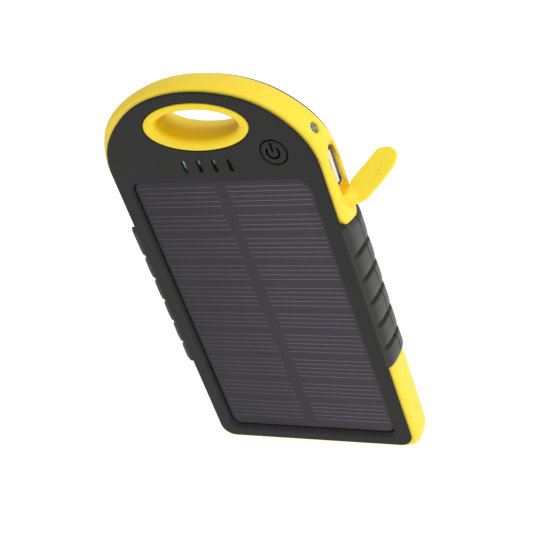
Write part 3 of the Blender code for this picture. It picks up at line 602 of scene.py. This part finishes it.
def back_shell():
    shell = loft("back_cover", shell_rings(back_ring, back_lip, back_grip_curve), [SHELL_BLACK, GRIP_BLACK],
                 caps="ladder")
    rubber_grips(shell)
    cutters = [loft("back_ring_seat", [oval(*LOOP_HOLE, d) for d in (4.0, 18.0)], [SHELL_BLACK])]
    for word, (x, z) in SCREWS.items():
        back = back_depth(z)
        steps = [(0.8, back - 6), (0.8, back - 1.7), (2.4, back - 1.7), (2.4, back - 0.16), (2.55, back + 0.02),
                 (2.8, back + 1)]
        cutters.append(turned(f"screw_way_{word}", steps, place(x, 0, z), (0, 1, 0), [SHELL_BLACK]))
    cutters += socket_passages("back", *SIDE_WALL)
    carve(shell, *cutters)
    return piece(shell, "case", "black_shell", "back_shell")


# ---- bumpers and loop ----
def crowned(across, height):
    """How far a bumper stands out at a place across it, from -1 at its front edge to 1 at its back edge."""
    power = CROWN_FRONT_POWER if across < 0 else CROWN_BACK_POWER
    return height * (1 - min(abs(across), 1.0) ** power) ** (1 / power) - CROWN_SUNK


def crown(station, scale=1.0, level=None, points=22):
    """A bumper's section as (offset, depth): crowned outside with soft edges, straight inside. A level is as far out
    as the section may reach."""
    start, end = LIP + GAP, back_depth(station.z) - LIP - 2 * GAP
    middle, half = (start + end) / 2, (end - start) / 2
    out = [(BUMPER_INNER, start)]
    for k in range(points + 1):
        across = -math.cos(math.pi * k / points)
        offset = crowned(across, (BULGE + station.extra + CROWN_SUNK_SIDES) * scale)
        if level is not None:
            offset = min(offset, level)
        out.append((offset, middle + across * half))
    out.append((BUMPER_INNER, end))
    return out


def end_rings(z, away, side):
    """Sections that round off a bumper's end. They run from the end face into the bumper."""
    rings = []
    for scale, inset in ((0.62, 0.0), (0.86, 0.12), (0.95, 0.4), (1.0, 0.9)):
        s = Station(side * HALF_WIDTH, z + away * inset, side, 0, side=1)
        rings.append([s.at(o, d) for o, d in crown(s, scale)])
    return rings


def upper_bumper():
    rings = end_rings(GRIP_HIGH + GAP, 1, 1)
    side = side_stations((93, 96, 99, 102, 105, 108, 110.5))
    whole = side + arch_stations() + [s.mirrored() for s in reversed(side)]
    rings += [[s.at(o, d) for o, d in crown(s)] for s in whole]
    rings += reversed(end_rings(GRIP_HIGH + GAP, 1, -1))
    bumper = loft("bumper_top", rings, [YELLOW, RECESS_PAINTED_SHADE])
    centre, axis = torch_frame()
    lip = TORCH_RADIUS - 0.3
    torch_way = [(TORCH_RADIUS + 0.06, -6), (TORCH_RADIUS + 0.06, 0.95), (lip, 1.0), (lip + 0.02, 1.4),
                 (lip + 0.16, 1.62), (lip + 0.5, 1.8), (lip + 0.9, 1.95), (lip + 0.9, 4)]
    cutters = [turned("torch_seat", torch_way, centre, axis, [YELLOW]), usb_recess_cutter(),
               block("micro_recess", (-44, MICRO_POCKET[0], MICRO_POCKET[2]),
                     (-POCKET_FLOOR, MICRO_POCKET[1], MICRO_POCKET[3]), [YELLOW])]
    cutters += socket_passages("bumper", 31.0, SIDE_WALL[1])
    carve(bumper, *cutters)
    return piece(bumper, "case", "yellow_tpu", "upper_bumper")


def side_surface(depth, z):
    """x of the bumper's crowned side surface."""
    base = HALF_WIDTH
    if z > ARCH_START:
        base *= math.sqrt(1 - ((z - ARCH_START) / ARCH_RISE) ** 2)
    return base + crowned((depth - SIDE_MIDDLE) / SIDE_HALF, BULGE + CROWN_SUNK_SIDES)


def rounded(points, radius, steps=5):
    """A closed outline through corners, each rounded by its own radius."""
    out = []
    for i, (x, y) in enumerate(points):
        here = Vector((x, y))
        before, after = Vector(points[i - 1]), Vector(points[(i + 1) % len(points)])
        a, b = (before - here).normalized(), (after - here).normalized()
        reach = min(radius[i], (before - here).length / 2.05, (after - here).length / 2.05)
        start, end = here + a * reach, here + b * reach
        for k in range(steps + 1):
            t = k / steps
            out.append(start * (1 - t) ** 2 + here * 2 * t * (1 - t) + end * t ** 2)
    return out


def usb_recess_cutter():
    """The USB recess. Seen from the side it is square at the bottom and drawn in to a round top. Its back wall
    slopes, and its rim is rounded."""
    outline = rounded([(4.55, 99.3), (11.1, 99.3), (11.0, 108.0), (8.9, 115.6), (6.0, 116.0), (4.2, 114.2),
                       (3.6, 112.0)], (0.6, 0.7, 6, 2.0, 2.0, 1.5, 1.0))
    middle, half_deep, half_tall = Vector((7.4, 107.3)), 3.6, 8.2
    below, below_share, back_limit = -0.7, 0.35, 11.9
    rings = []
    for front, back, rise in ((0.95, 0.95, 4.0), (0.95, 0.95, 0.3), (0.62, 0.86, 0.04), (0.32, 0.72, -0.12),
                              (0.12, 0.5, -0.42), (0.03, 0.24, -0.8)):
        ring = []
        for point in outline:
            out = point - middle
            out = Vector((out.x / half_deep, out.y / half_tall)).normalized()
            grow = back if out.x > 0 else front
            grow = mix(front, grow, abs(out.x)) * (below_share if out.y < below else 1.0)
            d, up = point.x + out.x * grow, point.y + out.y * grow
            ring.append(place(side_surface(min(d, back_limit), up) + rise, d, up))
        rings.append(ring)
    rings.append([place(POCKET_FLOOR, p.x, p.y) for p in outline])
    return loft("usb_recess", rings[::-1], [RECESS_PAINTED_SHADE])


def lower_bumper():
    rings = end_rings(GRIP_LOW - GAP, -1, 1)
    side = side_stations((31, 27, 22, 17, 12, 8))
    bottom = list(reversed(corner_stations(14)))

    def level(s):
        """How far out a section may reach before it passes below the flat foot."""
        return None if s.nz > -1e-6 else s.z / -s.nz

    whole = side + bottom
    whole = whole + [s.mirrored() for s in reversed(whole)]
    rings += [[s.at(o, d) for o, d in crown(s, level=level(s))] for s in whole]
    rings += reversed(end_rings(GRIP_LOW - GAP, -1, -1))
    return piece(loft("bumper_foot", rings, [YELLOW]), "case", "yellow_tpu", "lower_bumper")


def loop_ring():
    """The loop's yellow lining: a broad soft rim, then a throat that rolls in and out again at the back."""
    def behind(amount):
        return lambda z: back_depth(z) + amount

    steps = [(17.36, 8.03, 0.6), (17.36, 8.03, 0.12), (17.25, 7.93, -0.06), (17.0, 7.70, -0.18), (16.5, 7.28, -0.28),
             (15.9, 6.84, -0.29), (15.3, 6.44, -0.22), (14.8, 6.12, -0.02), (14.35, 5.82, 0.35), (14.0, 5.55, 0.85),
             (13.7, 5.32, 1.5), (13.4, 5.12, 2.4), (13.1, 4.98, 3.5), (12.95, 4.92, 4.8),
             (12.95, 4.92, behind(-2.6)), (13.1, 5.0, behind(-1.6)), (13.45, 5.2, behind(-0.8)),
             (13.9, 5.4, behind(-0.25)), (14.4, 5.62, behind(0.05)), (14.8, 5.8, behind(0.05)),
             (15.2, 6.0, behind(-0.3)), (15.2, 6.0, 0.6)]
    rings = [oval(a, b, d, sides=128) for a, b, d in steps]
    # the lining's material paints shade deep in the throat and light towards the back
    return piece(loft("loop_lining", rings, [LINING_PAINTED_SHADING], caps="none"), "case", "yellow_tpu", "loop_ring")


# ---- solar panel ----
FINGER_PITCH, FINGER_TOP, FINGER_WIDE = 1.767, 106.1, 0.17
FINGER_GROUPS = (5, 4, 5, 4, 5, 4, 5, 5, 4, 5)       # lines in each cell strip, from the top
BUSBAR_HALF = 2.0


def solar_panel():
    rings = []
    for inset, depth in ((0.0, 1.5), (0.0, PANEL_DEPTH + 0.16), (0.05, PANEL_DEPTH + 0.05), (0.16, PANEL_DEPTH)):
        corners = [c - inset * 0.5 for c in PANEL_CORNERS]
        rings.append(round_rect(-PANEL_HALF + inset, PANEL_HALF - inset, PANEL_LOW + inset, PANEL_HIGH - inset,
                                corners, depth))
    piece(loft("panel_sheet", rings, [PANEL_PAINTED_LIGHT]), "case", "laminate", "panel_laminate")
    bm = bmesh.new()
    step = 0
    for lines in FINGER_GROUPS:
        for _ in range(lines):
            z = FINGER_TOP - FINGER_PITCH * step
            step += 1
            short = 1.6 if z > PANEL_HIGH - 3 else 0.0       # the first lines stop short of the round corner
            finger(bm, -PANEL_HALF + 0.95, -BUSBAR_HALF, z)
            finger(bm, BUSBAR_HALF, PANEL_HALF - 0.8 - short, z)
        step += 1
    piece(to_mesh("panel_fingers", bm, [FINGER_PAINTED_LIGHT]), "case", "cells", angle=60)


def finger(bm, x0, x1, z):
    """One conductor line: a very low bar that lies on the panel."""
    half = FINGER_WIDE / 2
    front, back = PANEL_DEPTH - 0.015, PANEL_DEPTH + 0.02

    def corners(depth, inset):
        a, b, low, high = x0 + inset, x1 - inset, z - half + inset, z + half - inset
        return [bm.verts.new(place(x, depth, up)) for x, up in ((a, low), (b, low), (b, high), (a, high))]

    lower, upper = corners(back, 0.0), corners(front, 0.02)
    bm.faces.new(lower)
    bm.faces.new(upper)
    for i in range(4):
        j = (i + 1) % 4
        bm.faces.new((lower[i], lower[j], upper[j], upper[i]))


# ---- button, lights and torch ----
SYMBOL_X, SYMBOL_RADIUS, SYMBOL_OPENING, GROOVE_HALF = BUTTON_X - 0.15, 1.95, 42, 0.31
PIPE_SMOKE = (0.003, 0.003, 0.003)


def power_button():
    r = BUTTON_RADIUS - 0.2
    cap = turned("button_cap", [(1.2, 2.7), (1.2, 2.45), (r + 0.9, 2.45), (r + 0.9, 2.1), (r, 2.1), (r, 0.22),
                                (r - 0.06, 0.09), (r - 0.2, 0.02), (r - 0.36, 0.0)],
                 place(BUTTON_X, 0, BUTTON_Z), (0, 1, 0), [SHELL_BLACK, GROOVE_PAINTED_SHADE], sides=72)
    carve(cap, symbol_ring_cutter(), symbol_stem_cutter())
    for face in cap.data.polygons:
        across = math.hypot(face.center.x / MM - BUTTON_X, face.center.z / MM - BUTTON_Z)
        sunk = face.center.y / MM + MIDDLE
        face.material_index = 1 if across < r - 0.4 and 0.02 < sunk < 1.0 else 0     # the symbol's grooves, painted near black as shade
    return piece(cap, "power_button", "black_shell", "power_button", angle=30)


def groove_section():
    """Section of an engraved line, as (sideways, depth)."""
    half = GROOVE_HALF
    return [(-half - 0.3, -0.4), (half + 0.3, -0.4), (half + 0.03, -0.01), (half, 0.06), (half * 0.8, 0.3),
            (-half * 0.8, 0.3), (-half, 0.06), (-half - 0.03, -0.01)]


def symbol_ring_cutter():
    rings = []
    steps = 32
    for k in range(steps + 1):
        a = math.radians(mix(90 + SYMBOL_OPENING, 450 - SYMBOL_OPENING, k / steps))
        rings.append([place(SYMBOL_X + r * math.cos(a), depth, BUTTON_Z + r * math.sin(a))
                      for r, depth in ((SYMBOL_RADIUS + s, depth) for s, depth in groove_section())])
    return loft("symbol_ring", rings, [GROOVE_PAINTED_SHADE])


def symbol_stem_cutter():
    rings = [[place(SYMBOL_X + s, d, z) for s, d in groove_section()]
             for z in (BUTTON_Z + 0.25, BUTTON_Z + 3.3)]
    return loft("symbol_stem", rings, [GROOVE_PAINTED_SHADE])


def light_pipes():
    """The four windows. Their steps are width, length and depth."""
    for number, x in enumerate(SLOT_X, 1):
        steps = [(1.1, 4.1, 3.4), (1.1, 4.1, 0.85), (1.02, 4.0, 0.72), (0.75, 3.7, 0.62), (0.25, 3.0, 0.58)]
        mat = pipe_material(number)
        pipe = loft(f"light_window_{number}", [slot_ring(x, w, h, d) for w, h, d in steps], [mat])
        piece(pipe, "case", "clear_plastic", f"light_pipe_{number}", angle=60)


def pipe_material(number):
    """A smoked light pipe. Its upper end has a painted highlight; the first one's is greenish and runs its length."""
    painted_glint = (0.55, 0.34, 0.30, 0.05)[number - 1]
    reach = (2.3, 1.35, 1.15, 0.5)[number - 1]
    smoke, tint = ((0.03, 0.06, 0.045), (0.75, 1.0, 0.88)) if number == 1 else (PIPE_SMOKE, (1.0, 1.0, 0.98))
    mat = surface(f"light_pipe_{number}", PIPE_SMOKE, 0.16, Specular_IOR_Level=0.12)
    tree = mat.node_tree
    middle = SLOT_X[number - 1]
    # painted highlight: lighter towards the upper end and the left side
    height = ramp(tree, "Z", SLOT_Z + 1.2 - reach, SLOT_Z + 1.5)
    side = ramp(tree, "X", middle + 0.35, middle + 0.1)
    both = tree.nodes.new("ShaderNodeMath")
    both.operation = "MULTIPLY"
    tree.links.new(height.outputs["Result"], both.inputs[0])
    tree.links.new(side.outputs["Result"], both.inputs[1])
    colour = blended(tree, both.outputs[0], smoke, tuple(painted_glint * c for c in tint))
    tree.links.new(colour, tree.nodes["Principled BSDF"].inputs["Base Color"])
    return mat


def torch():
    """A clear cap with a rim, a ring-shaped dip and a raised middle."""
    centre, axis = torch_frame()
    profile = [(TORCH_RADIUS, -1.9), (TORCH_RADIUS, 0.88), (1.66, 0.9), (1.62, 1.05), (1.5, 1.16), (1.36, 1.1),
               (1.15, 0.8), (0.8, 0.62), (0.72, 0.98), (0.5, 1.12), (0.2, 1.18), (0.05, 1.18)]
    piece(turned("torch_window", profile, centre, axis, [LENS]), "case", "clear_plastic", "torch_lens", angle=30)


# ---- sockets ----
def sleeve(name, side, mouth, length, wide, tall, z, depth, wall, corner, node):
    """A folded sheet-metal shell, open at both ends, with a slightly flared mouth."""
    def ring(x, grow, inset):
        a, b, r = tall / 2 - inset + grow, wide / 2 - inset + grow, max(corner - inset, 0.1)
        out = []
        for cd, cz, start in ((a - r, -b + r, -90), (a - r, b - r, 0), (-a + r, b - r, 90), (-a + r, -b + r, 180)):
            for k in range(5):
                t = math.radians(start + 90 * k / 4)
                out.append(place(side * x, depth + cd + r * math.cos(t), z + cz + r * math.sin(t)))
        return out

    steps = [(mouth - length, 0.0, 0.0), (mouth - 0.5, 0.0, 0.0), (mouth - 0.1, 0.06, 0.02), (mouth, 0.06, 0.1),
             (mouth - 0.05, 0.06, wall - 0.05), (mouth - 0.5, 0.0, wall), (mouth - length, 0.0, wall)]
    obj = loft(name, [ring(*s) for s in steps], [STEEL], caps="none")
    return piece(obj, "case", "steel", node)


def sockets():
    sleeve("usb_sleeve", 1, USB_MOUTH, USB_LENGTH, USB_WIDE, USB_TALL, USB_Z, USB_DEPTH, USB_WALL, 0.6,
           "usb_socket_shell")
    front = USB_DEPTH - USB_TALL / 2 + TONGUE_DROP
    tongue = block("usb_insulator", (USB_MOUTH - USB_LENGTH + 0.6, front, USB_Z - TONGUE_HALF),
                   (USB_MOUTH - 0.12, front + TONGUE_THICK, USB_Z + TONGUE_HALF), [IVORY], edge=0.18, steps=3)
    piece(tongue, "case", "white_plastic", "usb_socket_tongue")
    sleeve("micro_sleeve", -1, MICRO_MOUTH, MICRO_LENGTH, MICRO_WIDE, MICRO_TALL, MICRO_Z, MICRO_DEPTH, MICRO_WALL,
           0.7, "micro_usb_shell")


# ---- covers ----
def usb_cover_outline():
    """The USB cover seen from outside, as (depth, z): a slanted root, a round front corner and a blunt tip."""
    return rounded([(3.45, 98.6), (3.2, 105.0), (3.6, 112.2), (5.2, 115.5), (8.3, 115.4), (10.7, 112.6),
                    (10.7, 106.0), (10.7, 99.9)], (0.9, 6, 3, 2.2, 1.6, 0.9, 3, 0.3))


def micro_cover_outline(front, back, low, high):
    """The small cover seen from outside, as (depth, z): square root, round tip."""
    wide = back - front
    return rounded([(front, low), (front, high), (back, high), (back, low)], (0.4, wide * 0.5, wide * 0.5, 0.4), 9)


def cover_rings(outline, side, inner, outer, edge=0.28):
    """Sections of a cover plate through its thickness, its edges rounded."""
    middle = Vector((sum(p[0] for p in outline) / len(outline), sum(p[1] for p in outline) / len(outline)))

    def ring(x, inset):
        out = []
        for depth, z in outline:
            away = (Vector((depth, z)) - middle)
            k = 1 - inset / max(away.length, 1.0)
            out.append(place(side * x, middle.x + away.x * k, middle.y + away.y * k))
        return out

    return [ring(inner, edge), ring(inner + edge * 0.3, edge * 0.3), ring(inner + edge, 0.0),
            ring(outer - edge, 0.0), ring(outer - edge * 0.3, edge * 0.3), ring(outer, edge)]


def bolt_cutter(x):
    """A generic lightning bolt, sunk a little into the cover's inner face."""
    shape = [(0.30, 1.0), (-0.42, -0.12), (-0.02, -0.12), (-0.30, -1.0), (0.42, 0.14), (0.02, 0.14)]
    depth, z, size = 6.0, 107.4, 3.1
    rings = [[place(x + d, depth + a * size, z + b * size) for a, b in shape] for d in (-0.5, 0.24)]
    return loft("bolt_mark", rings, [COVER_PAINTED_LIGHT])


def open_turn():
    """The turn that opens the USB cover about its slanted fold."""
    slant = math.radians(COVER_SLANT)
    axis = Vector((0, math.sin(slant), math.cos(slant)))
    hinge = place(*COVER_HINGE)
    return Matrix.Translation(hinge) @ Quaternion(axis, math.radians(COVER_OPEN)).to_matrix().to_4x4() \
        @ Matrix.Translation(-hinge)


def usb_cover():
    inner = COVER_OUTER - COVER_THICK
    plate = loft("cover_plate", cover_rings(usb_cover_outline(), 1, inner, COVER_OUTER), [COVER_PAINTED_LIGHT])
    carve(plate, bolt_cutter(inner))
    plate.data.transform(open_turn())
    cover = join("usb_cover_soft", plate, strap_web())
    shade(cover, 40)
    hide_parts("usb_cover")
    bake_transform(cover)


def join(name, base, other):
    """Unites two closed solids into one."""
    mod = base.modifiers.new(other.name, "BOOLEAN")
    mod.operation, mod.solver, mod.object = "UNION", "EXACT", other
    settle(base)
    bpy.data.objects.remove(other, do_unlink=True)
    base.name = name
    base.data.name = name
    return base


def strap_web():
    """The soft strap: it rises out of the bumper below the recess, turns outward and runs into the cover's root.
    Each of its five corners follows a cubic curve from its foot, which it leaves in its own direction."""
    inner, outer = COVER_OUTER - COVER_THICK + 0.03, COVER_OUTER - 0.1
    turn = open_turn()
    feet = [place(35.4, d, z) for d, z in ((4.9, 98.7), (7.2, 98.0), (10.9, 98.6), (11.3, 91.4), (5.4, 94.3))]
    leave = [Vector(v) * MM for v in ((4.5, 0.5, 0), (3.0, 0, 0.6), (2.0, 0, 0.6), (4.0, 0, 0.5), (5.5, 0, 0.4))]
    heads = [turn @ place(x, d, z) for x, d, z in ((inner, 6.9, 99.2), (inner, 10.3, 99.9), (outer, 10.5, 99.9),
                                                   (outer, 3.8, 98.9), (inner, 3.8, 98.9))]
    along = (turn.to_3x3() @ Vector((0, 0, 1))) * MM
    arrive, sunk = along * 3.0, 1.2
    rings = [rounded_ring([foot - Vector((sunk, 0, 0)) * MM for foot in feet])]
    steps = 16
    for k in range(steps + 1):
        t = k / steps
        from_foot, leaving = 2 * t ** 3 - 3 * t ** 2 + 1, t ** 3 - 2 * t ** 2 + t
        to_head, arriving = -2 * t ** 3 + 3 * t ** 2, t ** 3 - t ** 2
        rings.append(rounded_ring([foot * from_foot + go * leaving + head * to_head + arrive * arriving
                                   for foot, go, head in zip(feet, leave, heads)]))
    rings.append(rounded_ring([head + along * sunk for head in heads]))
    return loft("strap_web", rings, [COVER_PAINTED_LIGHT])


def rounded_ring(corners, soften=0.16, steps=6):
    """A closed ring through corners in space, each softened."""
    out = []
    count = len(corners)
    for i, here in enumerate(corners):
        a, b = here.lerp(corners[i - 1], soften), here.lerp(corners[(i + 1) % count], soften)
        out += [a * (1 - t) ** 2 + here * 2 * t * (1 - t) + b * t ** 2 for t in (k / steps for k in range(steps + 1))]
        out += [b.lerp(corners[(i + 1) % count].lerp(here, soften), k / 4) for k in range(1, 4)]
    return out


def micro_cover():
    front, back = MICRO_POCKET[0] + GAP, MICRO_POCKET[1] - GAP
    low, high = MICRO_POCKET[2] + GAP, MICRO_POCKET[3] - GAP
    plate = loft("micro_cover_soft", cover_rings(micro_cover_outline(front, back, low, high), -1,
                                                 COVER_OUTER - COVER_THICK, COVER_OUTER), [YELLOW])
    return piece(plate, "micro_usb_cover", "yellow_tpu", "micro_usb_cover")


# ---- screws and carried-over parts ----
def screws():
    for word, (x, z) in SCREWS.items():
        seat, head = back_depth(z) - 1.4, back_depth(z) - 0.25
        profile = [(0.3, 5.4), (0.95, 5.9), (1.0, seat), (2.08, seat), (2.08, head - 0.22), (1.95, head - 0.07),
                   (1.7, head)]
        screw = turned(f"screw_{word}", profile, place(x, 0, z), (0, 1, 0), [STEEL, GROOVE_PAINTED_SHADE], sides=40)
        bars = []
        for n, (wide, tall) in enumerate(((0.19, 1.05), (1.05, 0.19))):
            corners = [(-wide, -tall), (wide, -tall), (wide, tall), (-wide, tall)]
            steps = [(0.45, head - 0.7), (1.0, head - 0.05), (1.0, head + 0.6)]
            rings = [[place(x + a * share, depth, z + b * share) for a, b in corners] for share, depth in steps]
            # the drive recess takes the near-black painted shade
            bars.append(loft(f"drive_{word}_{n}", rings, [GROOVE_PAINTED_SHADE]))
        carve(screw, *bars)
        piece(screw, "case", "steel", f"case_screw_{word}", angle=30)


def dress_frame():
    """Materials for the inner pieces, which are shown as the CAD made them."""
    dress = {
        BOARD: ("circuit_board", "panel_backing"), CHIP: ("charge_controller", "boost_converter", "power_inductor",
                                                          "micro_usb_tongue", "switch_plunger"),
        CERAMIC: ("output_capacitor",), POUCH: ("battery_cell",), FOAM: ("battery_pad",),
        WIRE_RED: ("battery_lead_plus", "panel_lead_plus"), WIRE_BLACK: ("battery_lead_minus", "panel_lead_minus"),
        CONTACT: ("usb_contact_1", "usb_contact_2", "usb_contact_3", "usb_contact_4"), STEEL: ("switch_body",),
        DIODE: ("charge_led_1", "charge_led_2", "charge_led_3", "charge_led_4", "torch_led"), PANEL_PAINTED_LIGHT: ("solar_cells",),
    }
    for mat, names in dress.items():
        for name in names:
            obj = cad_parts[name]
            obj.data.materials.clear()
            obj.data.materials.append(mat)


# ---- stage ----
def camera():
    data = bpy.data.cameras.new("camera")
    data.lens, data.sensor_width = 96.6, 36.0
    cam = bpy.data.objects.new("camera", data)
    where = (0.21068, -0.30509, 0.31976)
    right, up, back = (0.88306, 0.36453, -0.29551), (-0.00096, 0.63113, 0.77568), (0.46926, -0.68469, 0.55767)
    cam.matrix_world = Matrix.Translation(where) @ Matrix((right, up, back)).transposed().to_4x4()
    bpy.context.scene.collection.objects.link(cam)
    bpy.context.scene.camera = cam


def light(name, where, size, power):
    data = bpy.data.lights.new(name, "AREA")
    data.shape, data.size, data.energy = "DISK", size, power
    obj = bpy.data.objects.new(name, data)
    obj.location = where
    obj.rotation_euler = (Vector((0, 0, 0.07)) - Vector(where)).to_track_quat("-Z", "Y").to_euler()
    bpy.context.scene.collection.objects.link(obj)


def studio():
    """Soft light from all round, brighter from the back right, in front of a plain white backdrop."""
    world = bpy.data.worlds.new("studio")
    world.use_nodes = True
    nodes, link = world.node_tree.nodes, world.node_tree.links.new
    where = nodes.new("ShaderNodeTexCoord").outputs["Generated"]
    toward = nodes.new("ShaderNodeVectorMath")
    toward.operation = "DOT_PRODUCT"
    toward.inputs[1].default_value = Vector((0.6, 0.55, 0.58)).normalized()
    link(where, toward.inputs[0])
    strength = mapped(world.node_tree, toward.outputs["Value"], -0.6, 0.9, 0.18, 0.8)
    backdrop = nodes.new("ShaderNodeMix")
    backdrop.inputs["B"].default_value = 1.0
    link(nodes.new("ShaderNodeLightPath").outputs["Is Camera Ray"], backdrop.inputs["Factor"])
    link(strength.outputs["Result"], backdrop.inputs["A"])
    link(backdrop.outputs["Result"], nodes["Background"].inputs["Strength"])
    nodes["Background"].inputs["Color"].default_value = (1, 1, 1, 1)
    return world


def stage():
    bm = bmesh.new()
    bmesh.ops.create_grid(bm, x_segments=4, y_segments=4, size=3.0)
    floor = to_mesh("floor", bm, [surface("floor_pale", (0.5, 0.5, 0.5), 0.8, variation=0.005, patch=3, bump=0.0,
                                          Emission_Color=(1, 1, 1, 1), Emission_Strength=0.72)])
    bpy.context.scene.world = studio()
    bpy.context.scene.view_settings.view_transform = "Standard"
    light("key", (0.5, -0.4, 0.75), 0.7, 3.45)
    light("side", (0.8, 0.35, 0.3), 0.5, 0.95)
    light("fill", (-0.6, -0.6, 0.5), 0.8, 1.0)


front_shell()
back_shell()
upper_bumper()
lower_bumper()
loop_ring()
solar_panel()
power_button()
light_pipes()
torch()
sockets()
usb_cover()
micro_cover()
screws()
dress_frame()
camera()
stage()
